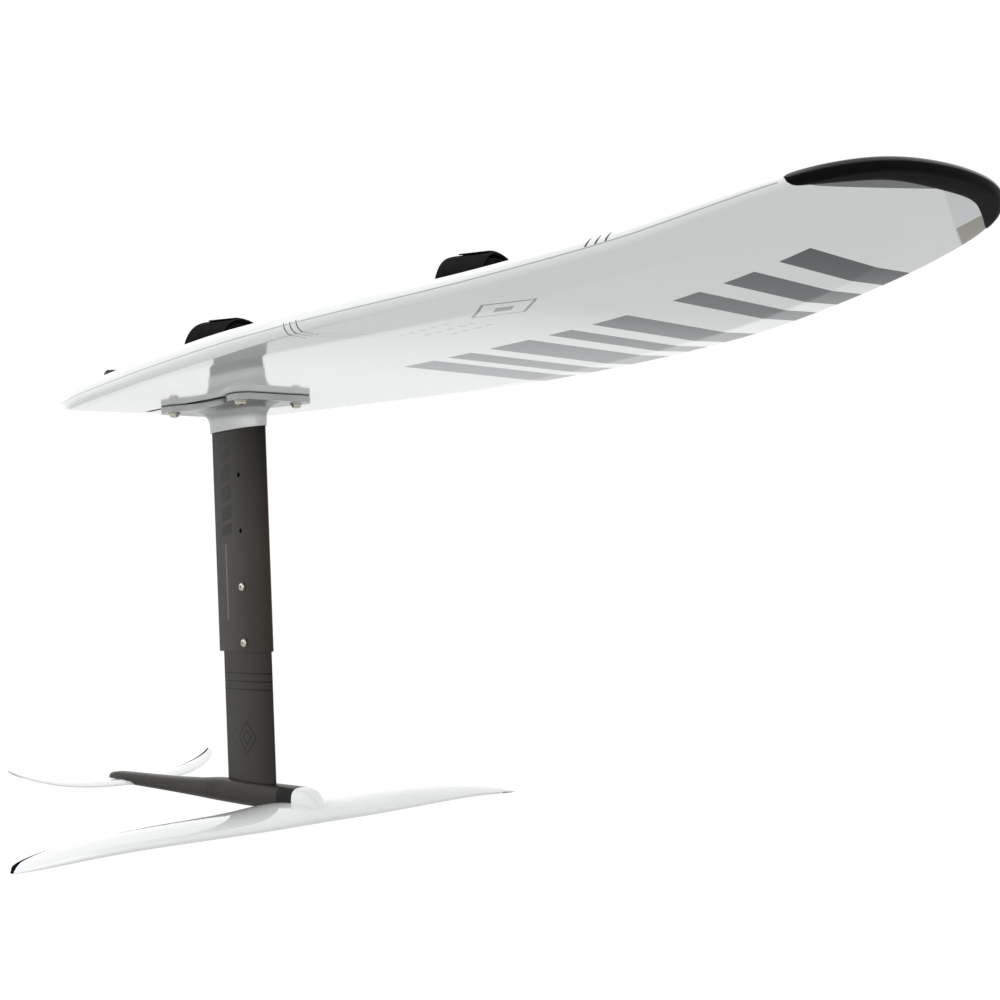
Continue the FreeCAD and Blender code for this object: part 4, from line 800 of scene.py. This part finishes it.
class Finish:
    """Principled material built up in steps; masks are sockets, 0 to 1; lengths are metres."""

    def __init__(self, name, color, rough, metal=0.0, coat=0.0, spec=0.5):
        self.material = bpy.data.materials.new(name)
        self.tree = empty_tree(self.material)
        self.shader = self.node("BsdfPrincipled", {
            "Metallic": metal, "Coat Weight": coat, "Coat Roughness": 0.03,
            "Specular IOR Level": spec})
        self.node("OutputMaterial", {0: self.shader.outputs[0]})
        self.color = self.rgb(color)
        value = self.node("Value").outputs[0]
        value.default_value = rough
        self.rough = value
        self.normal = None

    def node(self, kind, inputs=None, **settings):
        return add_node(self.tree, kind, inputs, **settings)

    def set(self, **inputs):
        """Set shader inputs, named with _ for a space."""
        feed(self.tree, self.shader, {k.replace("_", " "): v for k, v in inputs.items()})

    @cached_property
    def position(self):
        return self.node("TexCoord").outputs["Object"]

    @cached_property
    def xyz(self):
        return self.node("SeparateXYZ", {0: self.position}).outputs

    @cached_property
    def x(self):
        return self.calc("ADD", self.xyz[0], OX)

    @property
    def y(self):
        return self.xyz[1]

    @property
    def z(self):
        return self.xyz[2]

    @cached_property
    def normal_z(self):
        """Up component of the surface normal, in the object's own axes."""
        normal = self.node("NewGeometry").outputs["Normal"]
        local = self.node("VectorTransform", {0: normal}, vector_type="NORMAL",
                          convert_from="WORLD", convert_to="OBJECT")
        return self.node("SeparateXYZ", {0: local.outputs[0]}).outputs[2]

    def rgb(self, color):
        socket = self.node("RGB").outputs[0]
        socket.default_value = (*color, 1)
        return socket

    def calc(self, operation, a, b=0.0, clamp=False):
        return self.node("Math", {0: a, 1: b}, operation=operation, use_clamp=clamp).outputs[0]

    def less(self, value, limit):
        return self.calc("LESS_THAN", value, limit)

    def more(self, value, limit):
        return self.calc("GREATER_THAN", value, limit)

    def distance(self, value, place):
        return self.calc("ABSOLUTE", self.calc("SUBTRACT", value, place))

    def both(self, *masks):
        return reduce(lambda a, b: self.calc("MULTIPLY", a, b), masks)

    def either(self, *masks):
        return reduce(lambda a, b: self.calc("MAXIMUM", a, b), masks)

    def inverse(self, mask):
        return self.calc("SUBTRACT", 1.0, mask)

    def ramp(self, value, start, end):
        return self.calc("MULTIPLY", self.calc("SUBTRACT", value, start), 1.0 / (end - start),
                         clamp=True)

    def beyond(self, direction, offset, soft=0.0004):
        """1 where the position along direction is more than offset."""
        parts = [self.calc("MULTIPLY", axis, weight)
                 for axis, weight in zip((self.x, self.y, self.z), direction)]
        along = self.calc("ADD", self.calc("ADD", parts[0], parts[1]), parts[2])
        return self.calc("MULTIPLY", self.calc("SUBTRACT", along, offset - soft / 2),
                         1.0 / soft, clamp=True)

    def slab(self, direction, centre, half):
        """The pair of masks that bound a slab."""
        return (self.beyond(direction, centre - half),
                self.inverse(self.beyond(direction, centre + half)))

    def polygon(self, points, axes=(0, 1)):
        """Mask of a convex polygon in two of the three coordinates."""
        area = sum(p[0] * q[1] - q[0] * p[1] for p, q in zip(points, points[1:] + points[:1]))
        if area < 0:
            points = points[::-1]
        masks = []
        for (x0, y0), (x1, y1) in zip(points, points[1:] + points[:1]):
            length = math.hypot(x1 - x0, y1 - y0)
            normal = (-(y1 - y0) / length, (x1 - x0) / length)
            direction = [0, 0, 0]
            direction[axes[0]], direction[axes[1]] = normal
            masks.append(self.beyond(direction, normal[0] * x0 + normal[1] * y0, soft=0.0005))
        return self.both(*masks)

    def curve(self, value, start, end, profile, top):
        """profile(value) from start to end, where profile lies between 0 and top."""
        node = self.node("ValToRGB", {0: self.ramp(value, start, end)})
        stops = node.color_ramp.elements
        for i in range(1, 30):
            stops.new(i / 30)
        for i, stop in enumerate(stops):
            level = min(1.0, max(0.0, profile(start + (end - start) * (i / 30)) / top))
            stop.color = (level, level, level, 1)
        return self.calc("MULTIPLY", node.outputs[0], top)

    def mix(self, factor, a, b):
        return self.node("Mix", {0: factor, 6: a, 7: b}, data_type="RGBA").outputs[2]

    def paint(self, mask, color, strength=1.0):
        if isinstance(color, tuple):
            color = self.rgb(color)
        self.color = self.mix(self.calc("MULTIPLY", mask, strength), self.color, color)

    def noise(self, scale, detail, rough=0.5, stretch=None):
        place = self.position
        if stretch:
            place = self.node("Mapping", {0: place, "Scale": stretch}).outputs[0]
        return self.node("TexNoise", {"Scale": scale, "Detail": detail, "Roughness": rough,
                                      "Vector": place}).outputs[0]

    def vary(self, scale, dark, light, stretch=None):
        """Multiply the colour by a noise between dark and light."""
        cloud = self.ramp(self.noise(scale, 5.0, 0.55, stretch), 0.3, 0.7)
        gain = self.calc("ADD", dark, self.calc("MULTIPLY", cloud, light - dark))
        self.color = self.node("VectorMath", {0: self.color, 3: gain},
                               operation="SCALE").outputs[0]

    def vary_rough(self, scale, amount, stretch=None):
        swing = self.calc("SUBTRACT", self.noise(scale, 4.0, 0.6, stretch), 0.5)
        self.rough = self.calc("ADD", self.rough, self.calc("MULTIPLY", swing, amount * 2))

    def bump(self, height, depth, strength):
        inputs = {"Strength": strength, "Distance": depth, "Height": height}
        if self.normal is not None:
            inputs["Normal"] = self.normal
        self.normal = self.node("Bump", inputs).outputs[0]

    def grain(self, scale, detail, depth, strength):
        self.bump(self.noise(scale, detail), depth, strength)

    def apply(self, *objects):
        self.set(Base_Color=self.color, Roughness=self.rough)
        if self.normal is not None:
            self.set(Normal=self.normal)
        for ob in objects:
            ob.data.materials.clear()
            ob.data.materials.append(self.material)
            ob.data.polygons.foreach_set("material_index", [0] * len(ob.data.polygons))


# ------------------------------------------------------------------ white gloss
GLOSS_SPEC, GLOSS_COAT = 0.5, 0.35


def white_gloss(name):
    gloss = Finish(name, (0.775, 0.79, 0.785), rough=0.09, coat=GLOSS_COAT, spec=GLOSS_SPEC)
    gloss.vary(scale=3.0, dark=0.985, light=1.0)
    gloss.vary_rough(scale=40, amount=0.02)
    gloss.grain(scale=900, detail=2, depth=0.00001, strength=0.3)
    return gloss


# Slanted blocks on the starboard half of the bottom: aft and front x at the inner end, m
BARS = [(0.385, 0.440), (0.465, 0.505), (0.535, 0.600), (0.630, 0.665),
        (0.695, 0.745), (0.807, 0.842), (0.872, 0.910), (0.939, 0.975)]
BAR_INNER_Y, BAR_OUTER_Y, BAR_SHIFT = -0.014, 0.256, 0.030
STRIPE_BLACK = (0.03, 0.03, 0.035)


def paint_bars(gloss, down):
    """Bars that darken towards the nose, with most of their gloss taken away."""
    bars = gloss.either(*[
        gloss.polygon([(x0, BAR_INNER_Y), (x1, BAR_INNER_Y),
                       (x1 - BAR_SHIFT, BAR_OUTER_Y), (x0 - BAR_SHIFT, BAR_OUTER_Y)])
        for x0, x1 in BARS])
    grey = gloss.mix(gloss.ramp(gloss.x, 0.38, 1.0), gloss.rgb((0.35, 0.36, 0.365)),
                     gloss.rgb((0.085, 0.088, 0.092)))
    gloss.paint(gloss.both(bars, down), grey)
    flat = gloss.calc("MULTIPLY", gloss.both(bars, down), 0.93)
    gloss.set(Specular_IOR_Level=gloss.calc("MULTIPLY", gloss.inverse(flat), GLOSS_SPEC),
              Coat_Weight=gloss.calc("MULTIPLY", gloss.inverse(flat), GLOSS_COAT))


def paint_emblem(gloss, down):
    """Diamond ring with a solid diamond inside."""
    along = gloss.calc("MULTIPLY", gloss.distance(gloss.x, 0.716), 0.62)
    radius = gloss.calc("ADD", along, gloss.distance(gloss.y, -0.160))
    ring = gloss.both(gloss.less(radius, 0.030), gloss.more(radius, 0.0265))
    dot = gloss.less(radius, 0.010)
    gloss.paint(gloss.both(gloss.either(ring, dot), down), (0.13, 0.135, 0.14))


def paint_stripes(gloss, down):
    """Dashed rows and pinstripes on the bottom, short stripes on the rail; three of each."""
    for k in range(3):
        x, y = 0.560 + 0.012 * k, -0.165 + 0.022 * k
        dashes = gloss.more(gloss.calc("FRACT", gloss.calc("MULTIPLY", gloss.x, 55.0)), 0.45)
        row = gloss.polygon([(x, y), (x + 0.080, y), (x + 0.080, y + 0.006), (x, y + 0.006)])
        gloss.paint(gloss.both(row, dashes, down), (0.3, 0.3, 0.3), strength=0.55)
        x = 0.497 + 0.0105 * k
        pinstripe = gloss.polygon([(x, -0.262), (x + 0.0016, -0.262),
                                   (x + 0.046, -0.175), (x + 0.0444, -0.175)])
        gloss.paint(gloss.both(pinstripe, down), (0.42, 0.43, 0.43), strength=0.8)
        low_rail = gloss.both(
            gloss.beyond((0, -1, 0), 0.238), *gloss.slab((1, 0, 0), x, 0.0009),
            gloss.inverse(gloss.beyond((0, 0, 1), 0.0195)), gloss.less(gloss.normal_z, 0.05))
        gloss.paint(low_rail, STRIPE_BLACK)
        # leaning stripes: x is their place at a height of 0.03
        x, lean = 0.8722 + 0.0094 * k, 0.55
        high_rail = gloss.both(
            gloss.beyond((0, -1, 0), 0.15), *gloss.slab((1, 0, -lean), x - lean * 0.03, 0.0011),
            gloss.less(gloss.normal_z, 0.75), gloss.more(gloss.normal_z, -0.05))
        gloss.paint(high_rail, STRIPE_BLACK)


def paint_nose(gloss, down):
    """Nose facets: dark outer port corner, dark starboard strip of painted shade, pale inner port
    facet of white with painted shade.
    """
    along, across = 0.1460, 0.0710      # direction across the port crease
    crease = gloss.beyond((along, across, 0), 1.100 * along + 0.009 * across)
    under = gloss.less(gloss.normal_z, 0.3)
    port, split = (0, 1, 0), 0.111
    gloss.paint(gloss.both(crease, gloss.beyond(port, split), under), (0.22, 0.205, 0.14))
    # painted shade: the starboard facet and corner painted dark grey
    strip = gloss.polygon([(1.060, -0.170), (1.066, -0.128), (1.100, 0.009),
                           (1.135, 0.009), (1.135, -0.170)])
    gloss.paint(gloss.both(strip, gloss.inverse(gloss.beyond(port, 0.0)), under),
                (0.075, 0.077, 0.078))
    # painted shade: the white inner port facet painted pale grey
    inner = gloss.inverse(gloss.beyond(port, split))
    gloss.paint(gloss.both(crease, inner, gloss.beyond(port, 0.0), down), (0.62, 0.65, 0.645))


def paint_parting_line(gloss):
    """The mould's parting line along the rail's widest point."""
    def apex_z(x):
        return (rail_z(x * 1000) + RAIL_APEX * thickness(x * 1000)) * MM

    apex = gloss.curve(gloss.x, -0.311, 1.06, apex_z, top=0.1)
    line = gloss.both(gloss.less(gloss.distance(gloss.z, apex), 0.0006),
                      gloss.inverse(gloss.beyond((1, 0, 0), 1.05)),
                      gloss.less(gloss.calc("ABSOLUTE", gloss.normal_z), 0.7))
    gloss.paint(line, (0.30, 0.30, 0.30), strength=0.8)


def finish_board():
    gloss = white_gloss("board_gloss")
    # 1 where the surface faces down
    facing = gloss.calc("SUBTRACT", gloss.calc("MULTIPLY", gloss.normal_z, -1.0), 0.55)
    down = gloss.calc("MULTIPLY", facing, 12.0, clamp=True)
    paint_bars(gloss, down)
    paint_emblem(gloss, down)
    paint_stripes(gloss, down)
    paint_nose(gloss, down)
    paint_parting_line(gloss)
    gloss.apply(board)


def finish_bumper():
    """Black moulded rubber that shines only where it faces up."""
    rubber = Finish("bumper_gloss", (0.006, 0.0055, 0.0052), rough=0.36, spec=0.0)
    rubber.vary(scale=60, dark=0.8, light=1.25)
    rubber.vary_rough(scale=120, amount=0.06)
    shine = rubber.ramp(rubber.normal_z, 0.12, 0.34)
    rubber.rough = rubber.calc("SUBTRACT", rubber.rough, rubber.calc("MULTIPLY", shine, 0.24))
    rubber.set(Specular_IOR_Level=rubber.calc("ADD", 0.01, rubber.calc("MULTIPLY", shine, 0.5)))
    rubber.grain(scale=1500, detail=3, depth=0.00002, strength=0.4)
    rubber.apply(bumper)


def finish_track_box(name):
    """Black inside, white on the face that is flush with the bottom."""
    gloss = white_gloss(name + "_finish")
    inside = gloss.beyond((0, 0, 1), 0.0002)
    gloss.paint(inside, (0.012, 0.012, 0.013))
    gloss.rough = gloss.calc("ADD", gloss.rough, gloss.calc("MULTIPLY", inside, 0.4))
    gloss.apply(nodes[name])


def finish_pads():
    foam = Finish("eva_foam", (0.035, 0.035, 0.038), rough=0.85, spec=0.25)
    foam.vary(scale=35, dark=0.75, light=1.2)
    foam.bump(foam.noise(scale=1600, detail=4, rough=0.7), depth=0.0003, strength=0.6)
    foam.apply(rear_pad, front_pad)


def finish_cloth(name, color, weave, *objects):
    """Dark cloth; weave is the angular frequency of its threads, rad/m."""
    cloth = Finish(name, color, rough=0.85, spec=0.02)
    cloth.vary(scale=90, dark=0.7, light=1.35)
    warp = cloth.calc("SINE", cloth.calc("MULTIPLY", cloth.x, weave))
    height = cloth.calc("ADD", cloth.y, cloth.z)
    weft = cloth.calc("SINE", cloth.calc("MULTIPLY", height, weave))
    cloth.bump(cloth.calc("MULTIPLY", warp, weft), depth=0.00025, strength=0.7)
    cloth.grain(scale=260, detail=4, depth=0.0006, strength=0.5)
    cloth.set(Sheen_Weight=0.02)
    cloth.apply(*objects)


# ------------------------------------------------------------------ plain metal and plastic
TURNED = dict(vary=(250, 0.75, 1.1), vary_rough=(500, 0.1), grain=(2500, 3, 0.00003, 0.4))
# Material, colour, roughness, metal, specular; then noises; then pieces. The noises are
# vary: scale, dark, light; vary_rough: scale, amount; grain: scale, detail, depth, strength.
PLAIN = [
    ("plate_cast", (0.42, 0.43, 0.425), 0.3, 1.0, 0.5,
     dict(vary=(22, 0.86, 1.06), vary_rough=(60, 0.06), grain=(320, 4, 0.00004, 0.25)),
     ["base_plate"]),
    ("gasket_black", (0.012, 0.012, 0.012), 0.6, 0.0, 0.5,
     dict(vary=(80, 0.7, 1.3), grain=(700, 3, 0.0001, 0.4)), ["plate_gasket"]),
    ("stainless_turned", (0.62, 0.58, 0.50), 0.22, 1.0, 0.5, TURNED,
     ["plate_screws", "plate_washers", "mast_head_screws", "height_screws", "strap_screws",
      "mast_foot_screws", "front_wing_screws", "rear_wing_screws"]),
    ("brass_turned", (0.60, 0.44, 0.20), 0.3, 1.0, 0.5, TURNED,
     ["strap_inserts", "track_nuts"]),
    ("aluminium_machined", (0.55, 0.55, 0.54), 0.35, 1.0, 0.5, TURNED, ["mast_head_insert"]),
    ("moulded_nylon", (0.02, 0.02, 0.021), 0.5, 0.0, 0.5,
     dict(vary=(120, 0.75, 1.3), grain=(900, 3, 0.00012, 0.5)), ["strap_anchor_plates"]),
    ("collar_moulded", (0.003, 0.003, 0.003), 0.35, 0.0, 0.1,
     dict(vary=(120, 0.7, 1.4), grain=(900, 3, 0.00005, 0.4)), ["wing_collar"]),
]


def finish_plain(name, color, rough, metal, spec, noises, pieces):
    plain = Finish(name, color, rough, metal=metal, spec=spec)
    for step, values in noises.items():
        getattr(plain, step)(*values)
    plain.apply(*[nodes[piece] for piece in pieces])


# ------------------------------------------------------------------ masts and fuselage
MARK_BLACK = (0.006, 0.006, 0.006)
# Dark bars on the upper mast: low and high z at the aft end, m
MAST_BARS = [(-0.062, -0.050), (-0.084, -0.068), (-0.112, -0.090),
             (-0.140, -0.118), (-0.166, -0.146), (-0.186, -0.172)]


def anodised(name, color=(0.037, 0.033, 0.027)):
    metal = Finish(name, color, rough=0.42, metal=0.85, spec=0.4)
    metal.vary(scale=9, dark=0.88, light=1.08, stretch=(1, 1, 0.25))
    metal.vary(scale=160, dark=0.93, light=1.06)
    metal.vary_rough(scale=200, amount=0.06, stretch=(1, 1, 0.1))
    metal.grain(scale=2200, detail=3, depth=0.00003, strength=0.35)
    return metal


def finish_upper_mast():
    """Darker towards the top, with painted shade under the base plate; dark bars and one pale
    upright stripe to starboard.
    """
    metal = anodised("mast_upper_anodised")
    # painted shade: darkens the mast towards the base plate above it
    metal.paint(metal.ramp(metal.z, -0.200, -0.050), (0.012, 0.0105, 0.0085), strength=0.8)
    starboard = metal.inverse(metal.beyond((0, 1, 0), 0.0))
    aft, front, rise = -0.034, -0.004, 0.006
    for z0, z1 in MAST_BARS:
        bar = metal.polygon([(aft, z0), (front, z0 + rise), (front, z1 + rise), (aft, z1)],
                            axes=(0, 2))
        metal.paint(metal.both(bar, starboard), (0.008, 0.0075, 0.006), strength=0.85)
    stripe = metal.polygon([(-0.0262, -0.300), (-0.0226, -0.300),
                            (-0.0226, -0.196), (-0.0262, -0.196)], axes=(0, 2))
    metal.paint(metal.both(stripe, starboard), (0.16, 0.155, 0.14), strength=0.7)
    metal.apply(nodes["upper_mast"])


def finish_lower_mast():
    """Three thin level stripes, and two nested diamond rings to starboard."""
    metal = anodised("mast_lower_anodised", (0.033, 0.0295, 0.0245))
    for z in (-0.374, -0.385, -0.396):
        metal.paint(metal.both(*metal.slab((0, 0, 1), z, 0.0009)), (0.008, 0.008, 0.008))
    radius = metal.calc("ADD", metal.distance(metal.x, 0.011), metal.distance(metal.z, -0.4615))
    starboard = metal.inverse(metal.beyond((0, 1, 0), 0.0))
    rings = [metal.both(metal.less(radius, outer), metal.more(radius, inner))
             for outer, inner in ((0.0235, 0.0205), (0.0115, 0.0085))]
    metal.paint(metal.both(metal.either(*rings), starboard), MARK_BLACK)
    metal.apply(nodes["lower_mast"])


def finish_fuselage():
    """Three short upright stripes."""
    metal = anodised("fuselage_anodised")
    for x in (-0.0792, -0.0712, -0.0632):
        stripe = metal.both(*metal.slab((1, 0, 0), x, 0.0011),
                            *metal.slab((0, 0, 1), -0.5385, 0.0090))
        metal.paint(stripe, MARK_BLACK)
    metal.apply(nodes["fuselage"])


# ------------------------------------------------------------------ wings
# Trailing edges: share of the half span, x in mm. Strips: distance from the middle, width, mm.
FRONT_HALF_SPAN, REAR_HALF_SPAN = 398.0, 172.0
FRONT_EDGE = [(0, 3), (.2, 3.1), (.4, 4.5), (.6, 10), (.8, 25), (.93, 52), (1, 98)]
FRONT_STRIP = [(0, 0), (215, 1), (240, 6), (280, 10), (312, 16), (338, 21), (366, 19),
               (388, 14), (398, 9)]
REAR_EDGE = [(0, -357), (.15, -358), (.3, -359), (.45, -361), (.6, -363), (.75, -366),
             (.88, -369), (.96, -371), (1, -372)]
REAR_STRIP = [(0, 0), (25, 0.5), (80, 1.5), (105, 3), (130, 5.5), (152, 8), (166, 7), (172, 3)]


def paint_trailing_edge(gloss, half_span, edge, strip):
    """Matt black strip along the trailing edge near the tips."""
    edge_x = monotone_curve([(share * half_span, x) for share, x in edge])
    strip_width = monotone_curve(strip)
    offset = 0.4                # keeps the curve's values positive
    side = gloss.calc("ABSOLUTE", gloss.y)
    limit = gloss.curve(side, 0.0, half_span * MM, top=0.6, profile=lambda y: (
        (edge_x(y * 1000) + strip_width(y * 1000)) * MM + offset))
    near_tip = gloss.more(side, strip[1][0] * MM)
    mask = gloss.both(near_tip, gloss.less(gloss.calc("ADD", gloss.x, offset), limit))
    gloss.paint(mask, MARK_BLACK)
    rest = gloss.inverse(mask)
    gloss.set(Specular_IOR_Level=gloss.calc("MULTIPLY", rest, GLOSS_SPEC),
              Coat_Weight=gloss.calc("MULTIPLY", rest, GLOSS_COAT))
    gloss.rough = gloss.calc("ADD", gloss.rough, gloss.calc("MULTIPLY", mask, 0.5))


def finish_wings():
    gloss = white_gloss("front_wing_gloss")
    port_tip = gloss.both(gloss.beyond((0, 1, 0), 0.350), gloss.less(gloss.normal_z, -0.25))
    gloss.paint(port_tip, (0.10, 0.095, 0.065))     # underside only
    paint_trailing_edge(gloss, FRONT_HALF_SPAN, FRONT_EDGE, FRONT_STRIP)
    gloss.apply(nodes["front_wing"])
    gloss = white_gloss("rear_wing_gloss")
    paint_trailing_edge(gloss, REAR_HALF_SPAN, REAR_EDGE, REAR_STRIP)
    gloss.apply(nodes["rear_wing"])


finish_board()
finish_bumper()
finish_track_box("track_box_starboard")
finish_track_box("track_box_port")
finish_pads()
finish_cloth("neoprene_knit", (0.005, 0.005, 0.0055), 4200, front_padding, rear_padding)
finish_cloth("webbing_weave", (0.0065, 0.0065, 0.007), 2600,
             front_cover, rear_cover, front_tab, rear_tab)
for row in PLAIN:
    finish_plain(*row)
finish_upper_mast()
finish_lower_mast()
finish_fuselage()
finish_wings()

# ------------------------------------------------------------------ stage
FLOOR_HALF, FLOOR_Z = 14, -1.1
BACKDROP_STRENGTH = 1.02
# Studio light: up component of the direction, brightness
SKY = [(-0.45, 0.56), (-0.28, 0.58), (-0.13, 0.93), (-0.02, 1.0), (0.12, 0.98), (0.35, 0.93)]
SKY_BOTTOM, SKY_TOP = (0.64, 0.645, 0.65, 1), (0.95, 0.95, 0.95, 1)
SKY_STRENGTH = 1.15


def build_floor():
    """Glowing white floor, clear from below and seen only by the camera."""
    corners = [(x * FLOOR_HALF, y * FLOOR_HALF, FLOOR_Z)
               for x, y in ((-1, -1), (1, -1), (1, 1), (-1, 1))]
    floor = mesh_obj("stage_floor", corners, [(0, 1, 2, 3)], smooth=False)
    material = bpy.data.materials.new("floor_white")
    tree = empty_tree(material)
    noise = add_node(tree, "TexNoise", {"Scale": 0.5})
    ramp = add_node(tree, "ValToRGB", {0: noise.outputs[0]})
    ramp.color_ramp.elements[0].color = (0.995, 0.995, 0.995, 1)
    ramp.color_ramp.elements[1].color = (1, 1, 1, 1)
    glow = add_node(tree, "Emission", {0: ramp.outputs[0], 1: BACKDROP_STRENGTH})
    clear = add_node(tree, "BsdfTransparent")
    backfacing = add_node(tree, "NewGeometry").outputs["Backfacing"]
    mix = add_node(tree, "MixShader", {0: backfacing, 1: glow.outputs[0], 2: clear.outputs[0]})
    add_node(tree, "OutputMaterial", {0: mix.outputs[0]})
    floor.data.materials.append(material)
    for kind in ("diffuse", "glossy", "transmission", "shadow", "volume_scatter"):
        setattr(floor, "visible_" + kind, False)


def build_world():
    """Studio light graded by height; the camera sees plain white."""
    world = bpy.data.worlds.new("studio")
    scene.world = world
    tree = empty_tree(world)
    direction = add_node(tree, "TexCoord").outputs["Generated"]
    up = add_node(tree, "SeparateXYZ", {0: direction}).outputs[2]
    level = add_node(tree, "MapRange", {0: up, 1: -1.0, 2: 1.0})
    ramp = add_node(tree, "ValToRGB", {0: level.outputs[0]})
    ramp.color_ramp.interpolation = "EASE"
    stops = ramp.color_ramp.elements
    stops[0].color = SKY_BOTTOM
    stops[1].color = SKY_TOP
    for z, v in SKY:
        stops.new((z + 1) / 2).color = (v, min(1.0, v * 1.005), min(1.0, v * 1.01), 1)
    light = add_node(tree, "Background", {0: ramp.outputs[0], 1: SKY_STRENGTH})
    backdrop = add_node(tree, "Background", {0: (1, 1, 1, 1), 1: BACKDROP_STRENGTH})
    is_camera = add_node(tree, "LightPath").outputs["Is Camera Ray"]
    mix = add_node(tree, "MixShader",
                   {0: is_camera, 1: light.outputs[0], 2: backdrop.outputs[0]})
    add_node(tree, "OutputWorld", {0: mix.outputs[0]})


def area_light(name, place, target, width, height, power):
    data = bpy.data.lights.new(name, "AREA")
    data.shape = "RECTANGLE"
    data.size, data.size_y = width, height
    data.energy = power
    data.color = (1, 1, 1)
    ob = bpy.data.objects.new(name, data)
    scene.collection.objects.link(ob)
    ob.location = place
    ob.rotation_mode = "QUATERNION"
    ob.rotation_quaternion = (Vector(target) - Vector(place)).to_track_quat("-Z", "Y")


def build_camera(place, heading, pitch, roll):
    """Camera at place; heading turns its right-hand side from +X towards +Y; degrees."""
    heading, pitch, roll = (math.radians(a) for a in (heading, pitch, roll))
    level_right = Vector((math.cos(heading), math.sin(heading), 0))
    level_ahead = Vector((-math.sin(heading), math.cos(heading), 0))
    z = Vector((0, 0, 1))
    ahead = level_ahead * math.cos(pitch) + z * math.sin(pitch)
    pitched_up = -level_ahead * math.sin(pitch) + z * math.cos(pitch)
    right = level_right * math.cos(roll) + pitched_up * math.sin(roll)
    up = -level_right * math.sin(roll) + pitched_up * math.cos(roll)
    data = bpy.data.cameras.new("camera")
    data.sensor_width = 36.0
    data.lens = 57.3516
    data.shift_x, data.shift_y = 0.0212, 0.0576
    data.clip_start, data.clip_end = 0.05, 100
    camera = bpy.data.objects.new("camera", data)
    scene.collection.objects.link(camera)
    rows = [(right[i], up[i], -ahead[i], place[i]) for i in range(3)]
    camera.matrix_world = Matrix((*rows, (0, 0, 0, 1)))
    scene.camera = camera


build_floor()
build_world()
area_light("key_top", (-0.1, -0.9, 2.6), (0.1, 0, 0), width=3.0, height=2.0, power=20)
area_light("side_soft", (-2.1, -2.6, 0.9), (-0.1, 0, -0.1), width=2.0, height=2.0, power=8)
build_camera((1.8468 - OX, -1.2301, -0.2506), heading=47.81, pitch=0.60, roll=-2.17)
scene.view_settings.view_transform = "Standard"
scene.view_settings.look = "None"
